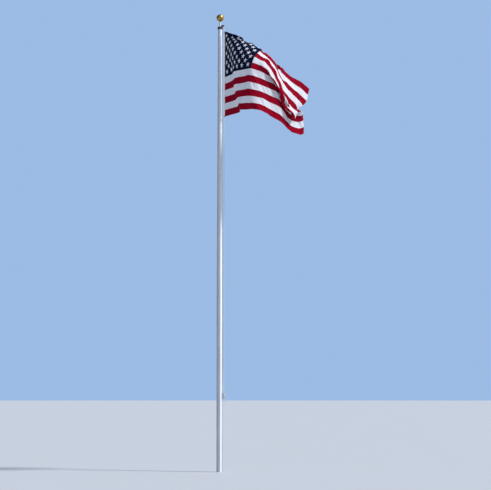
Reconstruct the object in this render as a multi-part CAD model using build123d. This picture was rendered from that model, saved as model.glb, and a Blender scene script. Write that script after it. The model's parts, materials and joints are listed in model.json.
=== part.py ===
from build123d import *
from math import cos, radians, sin, sqrt, tan
import os

# Flagpole: tapered aluminium shaft, truck with a side sheave, gold ball, halyard, cleat and flag.
# Millimetres, +Z up. The origin is the middle of the shaft's foot, where the pole enters the ground.

# Shaft
SHAFT_HEIGHT = 9144.0
BUTT_DIAMETER = 127.0
TOP_DIAMETER = 88.9
STRAIGHT_HEIGHT = 3500.0
SHAFT_WALL = 3.2
PLUG_THICKNESS = 40.0
PLUG_CLEARANCE = 0.2

# Truck, the cast cap that carries the sheave
CAP_CLEARANCE = 0.45
CAP_WALL = 8.0
CAP_SKIRT = 38.0
CROWN_THICKNESS = 10.0
CROWN_ROUND = 5.0
SET_SCREW_DIAMETER = 8.0
SET_SCREW_COUNT = 3
SET_SCREW_CLEARANCE = 0.1
SET_SCREW_PROUD = 3.0
SET_SCREW_DROP = 22.0
HALYARD_AZIMUTH = -20.0

# Sheave, its pin and the fork that holds them
ROPE_DIAMETER = 8.0
ROPE_GAP = 1.6
ROPE_SHAFT_GAP = 4.6
SHEAVE_PITCH_RADIUS = 18.0
SHEAVE_FLANGE_RADIUS = 22.5
SHEAVE_WIDTH = 14.0
SHEAVE_SIDE_GAP = 0.8
SHEAVE_RISE = 22.0
GROOVE_CLEARANCE = 0.4
BUSHING_DIAMETER = 15.0
PIN_DIAMETER = 9.5
PIN_CLEARANCE = 0.15
PIN_HEAD_DIAMETER = 15.0
PIN_HEAD_THICKNESS = 4.0
PIN_TAIL = 8.0
SPLIT_PIN_DIAMETER = 2.5
SPLIT_PIN_LENGTH = 18.0
CHEEK_THICKNESS = 6.0
CHEEK_BOSS_RADIUS = 13.0
CHEEK_ROOT_GAP = 2.0
CHEEK_HEIGHT = 31.0

# Ball, its stem and collar
BALL_DIAMETER = 152.4
BALL_SHELL = 1.6
STEM_DIAMETER = 35.0
STEM_WALL = 2.5
STEM_LENGTH = 112.0
SPINDLE_DIAMETER = 12.7
SPINDLE_CLEARANCE = 0.2
SPINDLE_SEAT = 8.0
COLLAR_DIAMETER = 52.0
COLLAR_THICKNESS = 5.0

# Cleat
CLEAT_HEIGHT = 1524.0
CLEAT_LENGTH = 229.0
CLEAT_REACH = 35.0
CLEAT_BAR_WIDTH = 18.0
CLEAT_TIP_WIDTH = 10.0
CLEAT_TIP_FLARE = 14.0
CLEAT_LEG_SPACING = 52.0
CLEAT_LEG_WIDTH = 17.0
CLEAT_FOOT_LENGTH = 108.0
CLEAT_FOOT_WIDTH = 28.0
CLEAT_FOOT_THICKNESS = 7.0
CLEAT_SEAT_GAP = 0.2
CLEAT_SCREW_DIAMETER = 6.4
CLEAT_SCREW_SPACING = 84.0
CLEAT_SCREW_HEAD = 12.0
SCREW_CLEARANCE = 0.15

# Rope turns made fast on the cleat
HITCH_LENGTH = 150.0
HITCH_WAIST_DEPTH = 38.0
HITCH_WAIST_WIDTH = 50.0
HITCH_END_DEPTH = 30.0
HITCH_END_WIDTH = 44.0
HITCH_CLEARANCE = 0.4
HITCH_ROPE_GAP = 0.5
HITCH_ROPE_SPREAD = 13.5
ROPE_LEAVES_CLEAT = 1900.0
ROPE_STRAIGHT_DROP = 244.0
OUTER_ROPE_BENDS = 2150.0

# Flag
FLAG_DROP = 110.0
FLAG_HOIST = 1780.0
CLOTH_THICKNESS = 4.0
HEADING_WIDTH = 38.0
HEADING_THICKNESS = 6.0
HEADING_AZIMUTH = -80.0
HEADING_OFFSET = 40.0
HEADING_SEAM = 1.6
GROMMET_BORE = 12.7
GROMMET_DIAMETER = 24.0
GROMMET_FLANGE = 1.2
GROMMET_INSET = 22.0
GROMMET_CLEARANCE = 0.1

# Snap hooks and the ties that hold them on the rope
TIE_HEIGHT = 34.0
TIE_DIAMETER = 20.0
TIE_WAIST_DIAMETER = 14.0
TIE_WAIST_HEIGHT = 7.0
TIE_CLEARANCE = 0.3
EYE_CLEARANCE = 0.5
EYE_WIDTH = 4.5
EYE_HEIGHT = 5.5
EYE_SEAT_GAP = 0.3
HOOK_WIRE = 5.0
HOOK_WIDTH = 20.0
HOOK_SEAT_GAP = 0.3
SWIVEL_DIAMETER = 7.0
SWIVEL_LENGTH = 8.0
SWIVEL_CLEARANCE = 0.3

# The cloth's main form: rows of points at even heights from the top edge to the bottom edge, each row
# from the heading to the fly, as distance to the right, towards the viewer and up from its own start.
CLOTH_ROWS = [
    [(0, 0, 0), (205, 220, -100), (440, 330, -285), (700, 430, -570), (900, 430, -710),
     (1090, 350, -810), (1260, 200, -890), (1510, 100, -1030), (1740, 0, -1170)],
    [(0, 0, 0), (125, 300, 10), (400, 570, -30), (740, 680, -195), (940, 640, -355),
     (1070, 530, -575), (1210, 410, -800), (1420, 320, -1000), (1630, 220, -1180)],
    [(0, 0, 0), (130, 310, 15), (280, 660, 10), (610, 920, -40), (850, 900, -165),
     (1000, 790, -390), (1110, 680, -640), (1230, 560, -880), (1370, 470, -1060)],
    [(0, 0, 0), (160, 310, 15), (290, 650, 5), (545, 975, -15), (800, 850, -85),
     (1050, 680, -195), (1180, 610, -450), (1340, 530, -640), (1440, 430, -770)],
    [(0, 0, 0), (200, 290, 15), (300, 650, 20), (545, 965, -15), (810, 860, -75),
     (1080, 700, -165), (1240, 480, -330), (1420, 320, -430), (1610, 170, -385)],
    [(0, 0, 0), (215, 290, 20), (325, 640, 25), (600, 945, -10), (830, 880, -70),
     (1055, 680, -170), (1260, 480, -310), (1470, 250, -385), (1625, 0, -345)],
]

STANDING = (Align.CENTER, Align.CENTER, Align.MIN)

BUTT_RADIUS = BUTT_DIAMETER / 2
TOP_RADIUS = TOP_DIAMETER / 2
CAP_BORE_RADIUS = TOP_RADIUS + CAP_CLEARANCE
CAP_RADIUS = CAP_BORE_RADIUS + CAP_WALL
CROWN_TOP = SHAFT_HEIGHT + CROWN_THICKNESS
FLAG_TOP = SHAFT_HEIGHT - FLAG_DROP
ROPE_LEAVES_SHEAVE = SHAFT_HEIGHT - ROPE_STRAIGHT_DROP
ROPE_RADIUS = ROPE_DIAMETER / 2
INNER_ROPE = CAP_RADIUS + ROPE_GAP + ROPE_RADIUS
SHEAVE_REACH = INNER_ROPE + SHEAVE_PITCH_RADIUS
OUTER_ROPE = SHEAVE_REACH + SHEAVE_PITCH_RADIUS
SHEAVE_HEIGHT = CROWN_TOP + SHEAVE_RISE
CHEEK_INSIDE = SHEAVE_WIDTH / 2 + SHEAVE_SIDE_GAP
CHEEK_OUTSIDE = CHEEK_INSIDE + CHEEK_THICKNESS
STEM_TOP = CROWN_TOP + STEM_LENGTH
STEM_FOOT_RADIUS = STEM_DIAMETER / 2 + STEM_WALL
CHEEK_ROOT_RADIUS = STEM_FOOT_RADIUS + CHEEK_ROOT_GAP
BALL_SEAT_RADIUS = COLLAR_DIAMETER / 2 - COLLAR_THICKNESS
BALL_RADIUS = BALL_DIAMETER / 2
BALL_CENTRE = STEM_TOP + COLLAR_THICKNESS + sqrt(BALL_RADIUS ** 2 - BALL_SEAT_RADIUS ** 2)
CLEAT_FACE = BUTT_RADIUS + CLEAT_SEAT_GAP
CLEAT_BAR = CLEAT_FACE + CLEAT_REACH
CLEAT_SCREW_BORE = CLEAT_SCREW_DIAMETER / 2 + SCREW_CLEARANCE
HITCH_BACK = CLEAT_FACE + CLEAT_FOOT_THICKNESS + CLEAT_SCREW_HEAD / 2 + HITCH_CLEARANCE
HITCH_CENTRE = HITCH_BACK + HITCH_WAIST_DEPTH / 2
ROPE_END = CLEAT_HEIGHT + HITCH_LENGTH / 2 + HITCH_ROPE_GAP
UPPER_GROMMET = FLAG_TOP - GROMMET_INSET
LOWER_GROMMET = FLAG_TOP - FLAG_HOIST + GROMMET_INSET
EYE_RADIUS = TIE_DIAMETER / 2 + EYE_CLEARANCE + EYE_WIDTH
GROMMET_BARREL_RADIUS = GROMMET_BORE / 2 + 2 * GROMMET_FLANGE
HOOK_LIFT = (GROMMET_BORE - HOOK_WIRE) / 2 - HOOK_SEAT_GAP


def shaft_radius(z):
    """Outside radius of the shaft at a height."""
    if z < STRAIGHT_HEIGHT:
        return BUTT_RADIUS
    share = (z - STRAIGHT_HEIGHT) / (SHAFT_HEIGHT - STRAIGHT_HEIGHT)
    return BUTT_RADIUS + share * (TOP_RADIUS - BUTT_RADIUS)


def on_halyard_side(shape):
    """Turns a shape made along +X to the side of the pole that carries the halyard."""
    return Rot(0, 0, HALYARD_AZIMUTH) * shape


def rod_along_x(radius, start, end, z):
    """A round bar along +X."""
    return Pos(start, 0, z) * Rot(0, 90, 0) * Cylinder(radius, end - start, align=STANDING)


def turned(points):
    """A solid turned about the Z axis from an outline of radius and height."""
    return revolve(make_face(Plane.XZ * Polyline(*points, close=True)), Axis.Z)


def screw_heights(spacing):
    """Heights of the two cleat screws."""
    return (CLEAT_HEIGHT - spacing / 2, CLEAT_HEIGHT + spacing / 2)


def pole_shaft():
    """Hollow shaft, straight at the butt and then tapered, drilled for the cleat screws."""
    outline = [
        (BUTT_RADIUS - SHAFT_WALL, 0),
        (BUTT_RADIUS, 0),
        (BUTT_RADIUS, STRAIGHT_HEIGHT),
        (TOP_RADIUS, SHAFT_HEIGHT),
        (TOP_RADIUS - SHAFT_WALL, SHAFT_HEIGHT),
        (BUTT_RADIUS - SHAFT_WALL, STRAIGHT_HEIGHT),
    ]
    tube = turned(outline)
    for z in screw_heights(CLEAT_SCREW_SPACING):
        bore = rod_along_x(CLEAT_SCREW_BORE, BUTT_RADIUS / 2, BUTT_RADIUS + SHAFT_WALL, z)
        tube -= on_halyard_side(bore)
    return tube


def butt_plug():
    """Plug that closes the shaft at the ground line, flush with the foot."""
    radius = BUTT_RADIUS - SHAFT_WALL - PLUG_CLEARANCE
    return Cylinder(radius, PLUG_THICKNESS, align=STANDING)


def fork_cheek(side):
    """One upright cheek of the fork, from the crown out to the boss round the sheave pin."""
    top = CROWN_TOP + CHEEK_HEIGHT
    with BuildSketch(Plane.XZ) as sketch:
        with BuildLine():
            Polyline(
                (CHEEK_ROOT_RADIUS, CROWN_TOP - CROWN_ROUND),
                (CHEEK_ROOT_RADIUS + CHEEK_HEIGHT / 3, top),
                (SHEAVE_REACH, SHEAVE_HEIGHT + CHEEK_BOSS_RADIUS),
                (SHEAVE_REACH, SHEAVE_HEIGHT - CHEEK_BOSS_RADIUS),
                (CAP_RADIUS - CROWN_ROUND, CROWN_TOP - CROWN_ROUND),
                close=True,
            )
        make_face()
        with Locations((SHEAVE_REACH, SHEAVE_HEIGHT)):
            Circle(CHEEK_BOSS_RADIUS)
    middle = side * (CHEEK_INSIDE + CHEEK_THICKNESS / 2)
    return Pos(0, middle, 0) * extrude(sketch.sketch, CHEEK_THICKNESS / 2, both=True)


def truck_cap():
    """Cast cap over the top of the shaft, with the fork for the sheave and a seat for the stem."""
    outline = [
        (0, CROWN_TOP),
        (CAP_RADIUS - CROWN_ROUND, CROWN_TOP),
        (CAP_RADIUS, CROWN_TOP - CROWN_ROUND),
        (CAP_RADIUS, SHAFT_HEIGHT - CAP_SKIRT),
        (CAP_BORE_RADIUS, SHAFT_HEIGHT - CAP_SKIRT),
        (CAP_BORE_RADIUS, SHAFT_HEIGHT),
        (0, SHAFT_HEIGHT),
    ]
    cap = turned(outline)
    for side in (-1, 1):
        cap += on_halyard_side(fork_cheek(side))
    pin_hole = Rot(90, 0, 0) * Cylinder(PIN_DIAMETER / 2 + PIN_CLEARANCE, 4 * CHEEK_OUTSIDE)
    cap -= on_halyard_side(Pos(SHEAVE_REACH, 0, SHEAVE_HEIGHT) * pin_hole)
    spindle_bore = SPINDLE_DIAMETER / 2 + SPINDLE_CLEARANCE
    cap -= Pos(0, 0, SHAFT_HEIGHT) * Cylinder(spindle_bore, 4 * CROWN_THICKNESS)
    screw_room = SET_SCREW_DIAMETER / 2 + SET_SCREW_CLEARANCE
    hole = rod_along_x(screw_room, TOP_RADIUS, CAP_RADIUS + CAP_WALL, SHAFT_HEIGHT - SET_SCREW_DROP)
    for turn in set_screw_turns():
        cap -= Rot(0, 0, turn) * hole
    return cap


def set_screw_turns():
    """Directions of the set screws round the cap, clear of the fork."""
    step = 360 / SET_SCREW_COUNT
    return [HALYARD_AZIMUTH + step * (i + 0.5) for i in range(SET_SCREW_COUNT)]


def truck_set_screws():
    """Set screws that grip the shaft through the skirt of the cap."""
    z = SHAFT_HEIGHT - SET_SCREW_DROP
    start = shaft_radius(z) + SET_SCREW_CLEARANCE
    screw = rod_along_x(SET_SCREW_DIAMETER / 2, start, CAP_RADIUS + SET_SCREW_PROUD, z)
    socket = rod_along_x(SET_SCREW_DIAMETER / 4, CAP_RADIUS, CAP_RADIUS + 2 * SET_SCREW_PROUD, z)
    return Compound(children=[Rot(0, 0, turn) * (screw - socket) for turn in set_screw_turns()])


def sheave():
    """Grooved wheel that the halyard runs over."""
    half = SHEAVE_WIDTH / 2
    hub = BUSHING_DIAMETER / 2 + PIN_CLEARANCE
    wheel = Cylinder(SHEAVE_FLANGE_RADIUS, SHEAVE_WIDTH) - Cylinder(hub, 2 * SHEAVE_WIDTH)
    groove = ROPE_RADIUS + GROOVE_CLEARANCE
    ring = Torus(SHEAVE_PITCH_RADIUS, groove)
    lip = turned([
        (SHEAVE_PITCH_RADIUS, -groove),
        (SHEAVE_PITCH_RADIUS, groove),
        (SHEAVE_FLANGE_RADIUS + 1, (half + groove) / 2 + 1),
        (SHEAVE_FLANGE_RADIUS + 1, -(half + groove) / 2 - 1),
    ])
    return on_halyard_side(Pos(SHEAVE_REACH, 0, SHEAVE_HEIGHT) * Rot(90, 0, 0) * (wheel - ring - lip))


def sheave_bushing():
    """Bronze bush in the hub of the sheave."""
    bush = Cylinder(BUSHING_DIAMETER / 2, SHEAVE_WIDTH)
    bush -= Cylinder(PIN_DIAMETER / 2 + PIN_CLEARANCE, 2 * SHEAVE_WIDTH)
    return on_halyard_side(Pos(SHEAVE_REACH, 0, SHEAVE_HEIGHT) * Rot(90, 0, 0) * bush)


def split_pin_reach():
    """Distance of the split pin from the plane of the halyard."""
    return CHEEK_OUTSIDE + 2 * SPLIT_PIN_DIAMETER


def sheave_pin():
    """Headed pin through both cheeks, drilled for a split pin."""
    head_end = -CHEEK_OUTSIDE - PIN_HEAD_THICKNESS
    pin = Pos(0, 0, head_end) * Cylinder(PIN_HEAD_DIAMETER / 2, PIN_HEAD_THICKNESS, align=STANDING)
    length = 2 * CHEEK_OUTSIDE + PIN_TAIL
    pin += Pos(0, 0, -CHEEK_OUTSIDE) * Cylinder(PIN_DIAMETER / 2, length, align=STANDING)
    drill = Rot(90, 0, 0) * Cylinder(SPLIT_PIN_DIAMETER / 2 + PIN_CLEARANCE, 2 * PIN_DIAMETER)
    pin -= Pos(0, 0, split_pin_reach()) * drill
    return on_halyard_side(Pos(SHEAVE_REACH, 0, SHEAVE_HEIGHT) * Rot(90, 0, 0) * pin)


def split_pin():
    """Split pin that keeps the sheave pin in the fork."""
    pin = Cylinder(SPLIT_PIN_DIAMETER / 2, SPLIT_PIN_LENGTH)
    ring = Torus(SPLIT_PIN_DIAMETER, SPLIT_PIN_DIAMETER / 2)
    eye = Pos(0, 0, SPLIT_PIN_LENGTH / 2) * Rot(0, 90, 0) * ring
    placed = Pos(SHEAVE_REACH, -split_pin_reach(), SHEAVE_HEIGHT) * (pin + eye)
    return on_halyard_side(placed)


def ball_spindle():
    """Threaded rod from the cap, through the stem and collar, into the ball."""
    length = SPINDLE_SEAT + STEM_LENGTH + COLLAR_THICKNESS + STEM_DIAMETER
    return Pos(0, 0, CROWN_TOP - SPINDLE_SEAT) * Cylinder(SPINDLE_DIAMETER / 2, length, align=STANDING)


def ball_stem():
    """Tubular stem that holds the ball above the truck, thickened round the spindle at both ends."""
    bore = SPINDLE_DIAMETER / 2 + SPINDLE_CLEARANCE
    outside = STEM_DIAMETER / 2
    inside = outside - STEM_WALL
    outline = [
        (bore, CROWN_TOP),
        (STEM_FOOT_RADIUS, CROWN_TOP),
        (STEM_FOOT_RADIUS, CROWN_TOP + 2 * STEM_WALL),
        (outside, CROWN_TOP + 4 * STEM_WALL),
        (outside, STEM_TOP),
        (bore, STEM_TOP),
        (bore, STEM_TOP - 2 * STEM_WALL),
        (inside, STEM_TOP - 2 * STEM_WALL),
        (inside, CROWN_TOP + 2 * STEM_WALL),
        (bore, CROWN_TOP + 2 * STEM_WALL),
    ]
    return turned(outline)


def ball_collar():
    """Dished collar under the ball."""
    bore = SPINDLE_DIAMETER / 2 + SPINDLE_CLEARANCE
    rim = COLLAR_DIAMETER / 2
    top = STEM_TOP + COLLAR_THICKNESS
    disc = turned([(bore, STEM_TOP), (rim - COLLAR_THICKNESS, STEM_TOP), (rim, top), (bore, top)])
    return disc - Pos(0, 0, BALL_CENTRE) * Sphere(BALL_RADIUS + SPINDLE_CLEARANCE)


def ball():
    """Spun ball, a hollow shell with a hole for the spindle."""
    shell = Sphere(BALL_RADIUS) - Sphere(BALL_RADIUS - BALL_SHELL)
    hole = Pos(0, 0, -BALL_RADIUS) * Cylinder(SPINDLE_DIAMETER / 2 + SPINDLE_CLEARANCE, BALL_RADIUS)
    return Pos(0, 0, BALL_CENTRE) * (shell - hole)


def cleat_horns(grow=0.0):
    """Bar of the cleat, which narrows and flares outwards to its two horn tips."""
    half = CLEAT_LENGTH / 2
    stations = [
        (-half, CLEAT_TIP_FLARE, 0.35 * CLEAT_TIP_WIDTH),
        (-0.96 * half, 0.9 * CLEAT_TIP_FLARE, CLEAT_TIP_WIDTH),
        (-0.5 * half, 0.2 * CLEAT_TIP_FLARE, 0.85 * CLEAT_BAR_WIDTH),
        (0, 0, CLEAT_BAR_WIDTH),
        (0.5 * half, 0.2 * CLEAT_TIP_FLARE, 0.85 * CLEAT_BAR_WIDTH),
        (0.96 * half, 0.9 * CLEAT_TIP_FLARE, CLEAT_TIP_WIDTH),
        (half, CLEAT_TIP_FLARE, 0.35 * CLEAT_TIP_WIDTH),
    ]
    sections = []
    for height, flare, width in stations:
        sections.append(Pos(CLEAT_BAR + flare, 0, CLEAT_HEIGHT + height) * Circle(width / 2 + grow))
    return loft(sections)


def cleat_legs(grow=0.0):
    """Two legs from the foot of the cleat to its bar."""
    legs = []
    for side in (-1, 1):
        z = CLEAT_HEIGHT + side * CLEAT_LEG_SPACING / 2
        root = CLEAT_FACE + CLEAT_FOOT_THICKNESS / 2
        legs.append(rod_along_x(CLEAT_LEG_WIDTH / 2 + grow, root, CLEAT_BAR, z))
    return legs


def cleat_foot(grow=0.0):
    """Foot plate with round ends, hollowed at the back to sit on the shaft."""
    depth = 2 * CLEAT_FOOT_THICKNESS + grow
    plate = Plane.YZ * SlotOverall(CLEAT_FOOT_LENGTH + 2 * grow, CLEAT_FOOT_WIDTH + 2 * grow, rotation=90)
    foot = Pos(CLEAT_FACE - CLEAT_FOOT_THICKNESS, 0, CLEAT_HEIGHT) * extrude(plate, depth)
    return foot - Pos(0, 0, CLEAT_HEIGHT) * Cylinder(CLEAT_FACE, 2 * CLEAT_FOOT_LENGTH)


def cleat_body(grow=0.0):
    """The whole cleat, or the room it takes with a clearance round it."""
    body = cleat_horns(grow)
    for leg in cleat_legs(grow):
        body += leg
    return body + cleat_foot(grow)


def cleat():
    """Cast cleat that the halyard is made fast on."""
    body = cleat_body()
    for z in screw_heights(CLEAT_SCREW_SPACING):
        body -= rod_along_x(CLEAT_SCREW_BORE, BUTT_RADIUS / 2, CLEAT_BAR, z)
    return on_halyard_side(body)


def cleat_screws():
    """Two round-headed screws through the foot of the cleat and the wall of the shaft."""
    seat = CLEAT_FACE + CLEAT_FOOT_THICKNESS
    half_space = Cylinder(CLEAT_SCREW_HEAD, CLEAT_SCREW_HEAD, align=STANDING)
    screws = []
    for z in screw_heights(CLEAT_SCREW_SPACING):
        shank = rod_along_x(CLEAT_SCREW_DIAMETER / 2, BUTT_RADIUS - 2 * SHAFT_WALL, seat, z)
        head = Pos(seat, 0, z) * Rot(0, 90, 0) * (Sphere(CLEAT_SCREW_HEAD / 2) & half_space)
        screws.append(on_halyard_side(shank + head))
    return Compound(children=screws)


def cleat_hitch():
    """Room taken by the turns of rope on the cleat."""
    half = HITCH_LENGTH / 2
    stations = [
        (-half, HITCH_END_DEPTH, HITCH_END_WIDTH),
        (0, HITCH_WAIST_DEPTH, HITCH_WAIST_WIDTH),
        (half, HITCH_END_DEPTH, HITCH_END_WIDTH),
    ]
    sections = []
    for height, depth, width in stations:
        sections.append(Pos(HITCH_CENTRE, 0, CLEAT_HEIGHT + height) * Ellipse(depth / 2, width / 2))
    bundle = loft(sections)
    return on_halyard_side(bundle - cleat_body(HITCH_CLEARANCE))


def bend_radius(a, b, c, share=0.45):
    """Largest easy radius for the corner b of a route through a, b and c."""
    first = Vector(*b) - Vector(*a)
    second = Vector(*c) - Vector(*b)
    turn = radians(first.get_angle(second))
    return share * min(first.length, second.length) / tan(turn / 2)


def halyard():
    """The rope, from the cleat up beside the shaft, over the sheave and down to the cleat again."""
    low_inner = (HITCH_CENTRE - HITCH_END_DEPTH / 4, 0, ROPE_END)
    off_cleat = (shaft_radius(ROPE_LEAVES_CLEAT) + ROPE_RADIUS + ROPE_SHAFT_GAP, 0, ROPE_LEAVES_CLEAT)
    below_sheave = (INNER_ROPE, 0, ROPE_LEAVES_SHEAVE)
    on_sheave = (INNER_ROPE, 0, SHEAVE_HEIGHT)
    over_sheave = (SHEAVE_REACH, 0, SHEAVE_HEIGHT + SHEAVE_PITCH_RADIUS)
    off_sheave = (OUTER_ROPE, 0, SHEAVE_HEIGHT)
    outer_bend = (OUTER_ROPE, 0, OUTER_ROPE_BENDS)
    low_outer = (HITCH_CENTRE, HITCH_ROPE_SPREAD, ROPE_END)
    radii = [
        bend_radius(low_inner, off_cleat, below_sheave),
        bend_radius(off_cleat, below_sheave, on_sheave),
    ]
    inner = FilletPolyline(low_inner, off_cleat, below_sheave, on_sheave, radius=radii)
    turn = ThreePointArc(on_sheave, over_sheave, off_sheave)
    outer_radius = bend_radius(off_sheave, outer_bend, low_outer)
    outer = FilletPolyline(off_sheave, outer_bend, low_outer, radius=outer_radius)
    print("rope bends", [round(r) for r in radii], round(outer_radius))
    route = Wire(list(inner.edges()) + [turn.edge()] + list(outer.edges()))
    section = Plane(origin=route @ 0, z_dir=route % 0) * Circle(ROPE_RADIUS)
    return on_halyard_side(sweep(section, path=route))


def on_outer_rope(shape, azimuth=HALYARD_AZIMUTH):
    """Places a shape made round the Z axis on the outer strand, turned to an azimuth."""
    angle = radians(HALYARD_AZIMUTH)
    return Pos(OUTER_ROPE * cos(angle), OUTER_ROPE * sin(angle), 0) * Rot(0, 0, azimuth) * shape


def rope_tie(height):
    """Seized turns of rope round the halyard, with a waist that the eye of the snap turns in."""
    half = TIE_HEIGHT / 2
    outside = TIE_DIAMETER / 2
    waist = TIE_WAIST_DIAMETER / 2
    gap = TIE_WAIST_HEIGHT / 2
    bore = ROPE_RADIUS + TIE_CLEARANCE
    ease = (outside - bore) / 2
    outline = [
        (bore, -half),
        (outside - ease, -half),
        (outside, -half + ease),
        (outside, -gap),
        (waist, -gap),
        (waist, gap),
        (outside, gap),
        (outside, half - ease),
        (outside - ease, half),
        (bore, half),
    ]
    return on_outer_rope(Pos(0, 0, height) * turned(outline))


def eye_lift(lift):
    """The eye bears on the lower shoulder of its tie, or on the upper one where the hook pulls up."""
    free = (TIE_WAIST_HEIGHT - EYE_HEIGHT) / 2 - EYE_SEAT_GAP
    return -free if lift > 0 else free


def snap_eye(height, lift):
    """Swivel eye of a snap hook, round the waist of its tie."""
    bore = TIE_WAIST_DIAMETER / 2 + EYE_CLEARANCE
    outside = EYE_RADIUS
    ring = Cylinder(outside, EYE_HEIGHT) - Cylinder(bore, 2 * EYE_HEIGHT)
    neck_end = outside + SWIVEL_LENGTH - SWIVEL_CLEARANCE
    neck = rod_along_x(SWIVEL_DIAMETER / 3, outside - EYE_WIDTH / 2, neck_end, 0)
    return on_outer_rope(Pos(0, 0, height) * (ring + neck), HEADING_AZIMUTH)


def hook_span():
    """Distances from the rope at which the hook's loop starts and ends."""
    start = EYE_RADIUS + SWIVEL_LENGTH + HOOK_WIRE / 2
    end = HEADING_OFFSET + GROMMET_INSET
    return start, end


def snap_hook(height):
    """Closed loop of the snap hook, which passes through the grommet."""
    start, end = hook_span()
    middle = (start + end) / 2
    straight = end - start - HOOK_WIDTH
    path = Pos(middle, 0, height) * SlotCenterToCenter(straight, HOOK_WIDTH).wire()
    section = Plane(origin=path @ 0, z_dir=path % 0) * Circle(HOOK_WIRE / 2)
    return on_outer_rope(sweep(section, path=path), HEADING_AZIMUTH)


def flag_heading():
    """Canvas heading along the hoist, with a hole for each grommet."""
    hanging = (Align.MIN, Align.CENTER, Align.MAX)
    plate = Box(HEADING_WIDTH, HEADING_THICKNESS, FLAG_HOIST, align=hanging)
    plate = Pos(HEADING_OFFSET, 0, FLAG_TOP) * plate
    hole = Rot(90, 0, 0) * Cylinder(GROMMET_BARREL_RADIUS + GROMMET_CLEARANCE, 2 * HEADING_WIDTH)
    for z in (UPPER_GROMMET, LOWER_GROMMET):
        plate -= Pos(HEADING_OFFSET + GROMMET_INSET, 0, z) * hole
    return on_outer_rope(plate, HEADING_AZIMUTH)


def grommet(height):
    """Brass eyelet, a barrel with a flange on each face of the heading."""
    bore = GROMMET_BORE / 2
    barrel = GROMMET_BARREL_RADIUS
    rim = GROMMET_DIAMETER / 2
    face = HEADING_THICKNESS / 2 + GROMMET_CLEARANCE
    outer = face + GROMMET_FLANGE
    outline = [
        (bore, -outer),
        (rim, -outer),
        (rim, -face),
        (barrel, -face),
        (barrel, face),
        (rim, face),
        (rim, outer),
        (bore, outer),
    ]
    eyelet = Pos(HEADING_OFFSET + GROMMET_INSET, 0, height) * Rot(90, 0, 0) * turned(outline)
    return on_outer_rope(eyelet, HEADING_AZIMUTH)


def flag_cloth():
    """Cloth of the flag as it flies: a smooth sheet through the rows of points, given a thickness."""
    rope = radians(HALYARD_AZIMUTH)
    lead = radians(HEADING_AZIMUTH)
    reach = HEADING_OFFSET + HEADING_WIDTH + HEADING_SEAM
    corner_x = OUTER_ROPE * cos(rope) + reach * cos(lead)
    corner_y = OUTER_ROPE * sin(rope) + reach * sin(lead)
    step = FLAG_HOIST / (len(CLOTH_ROWS) - 1)
    grid = []
    for place, row in enumerate(CLOTH_ROWS):
        start = FLAG_TOP - place * step
        grid.append([Vector(corner_x + right, corner_y - near, start + up) for right, near, up in row])
    sheet = Face.make_surface_from_array_of_points(grid, min_deg=3, max_deg=3)
    return Solid.thicken(sheet, CLOTH_THICKNESS)


def flag_parts():
    """Every piece that hangs on the outer strand, by node name."""
    parts = {"flag_heading": flag_heading(), "flag_cloth": flag_cloth()}
    for name, height, lift in (("upper", UPPER_GROMMET, HOOK_LIFT), ("lower", LOWER_GROMMET, -HOOK_LIFT)):
        hook = height + lift
        parts[f"{name}_grommet"] = grommet(height)
        parts[f"{name}_snap_hook"] = snap_hook(hook)
        parts[f"{name}_snap_eye"] = snap_eye(hook, lift)
        parts[f"{name}_tie"] = rope_tie(hook - eye_lift(lift))
    return parts


def all_parts():
    """Every piece of the flagpole, by node name."""
    parts = {
        "pole_shaft": pole_shaft(),
        "butt_plug": butt_plug(),
        "truck_cap": truck_cap(),
        "truck_set_screws": truck_set_screws(),
        "sheave": sheave(),
        "sheave_bushing": sheave_bushing(),
        "sheave_pin": sheave_pin(),
        "split_pin": split_pin(),
        "ball_spindle": ball_spindle(),
        "ball_stem": ball_stem(),
        "ball_collar": ball_collar(),
        "ball": ball(),
        "cleat": cleat(),
        "cleat_screws": cleat_screws(),
        "cleat_hitch": cleat_hitch(),
        "halyard": halyard(),
    }
    parts.update(flag_parts())
    return parts


os.makedirs("parts", exist_ok=True)
for node, shape in all_parts().items():
    export_step(shape, f"parts/{node}.step")
    print(node, "written")
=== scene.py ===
# %% [markdown]
# # A flagpole with its flag flying
#
# The object is a nine metre tapered aluminium pole. On its top sit a dark cast truck with one
# sheave and a gold ball, and a white halyard runs from the cleat over the sheave and back down. A
# six by ten foot flag of sewn bunting flies from the halyard in a light wind. The metal parts come
# from the CAD model and get their finishes here. The soft parts are made here: the flag, the rope
# and its turns.

# %% Load the frame
import json
from math import cos, degrees, hypot, pi, radians, sin

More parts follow.
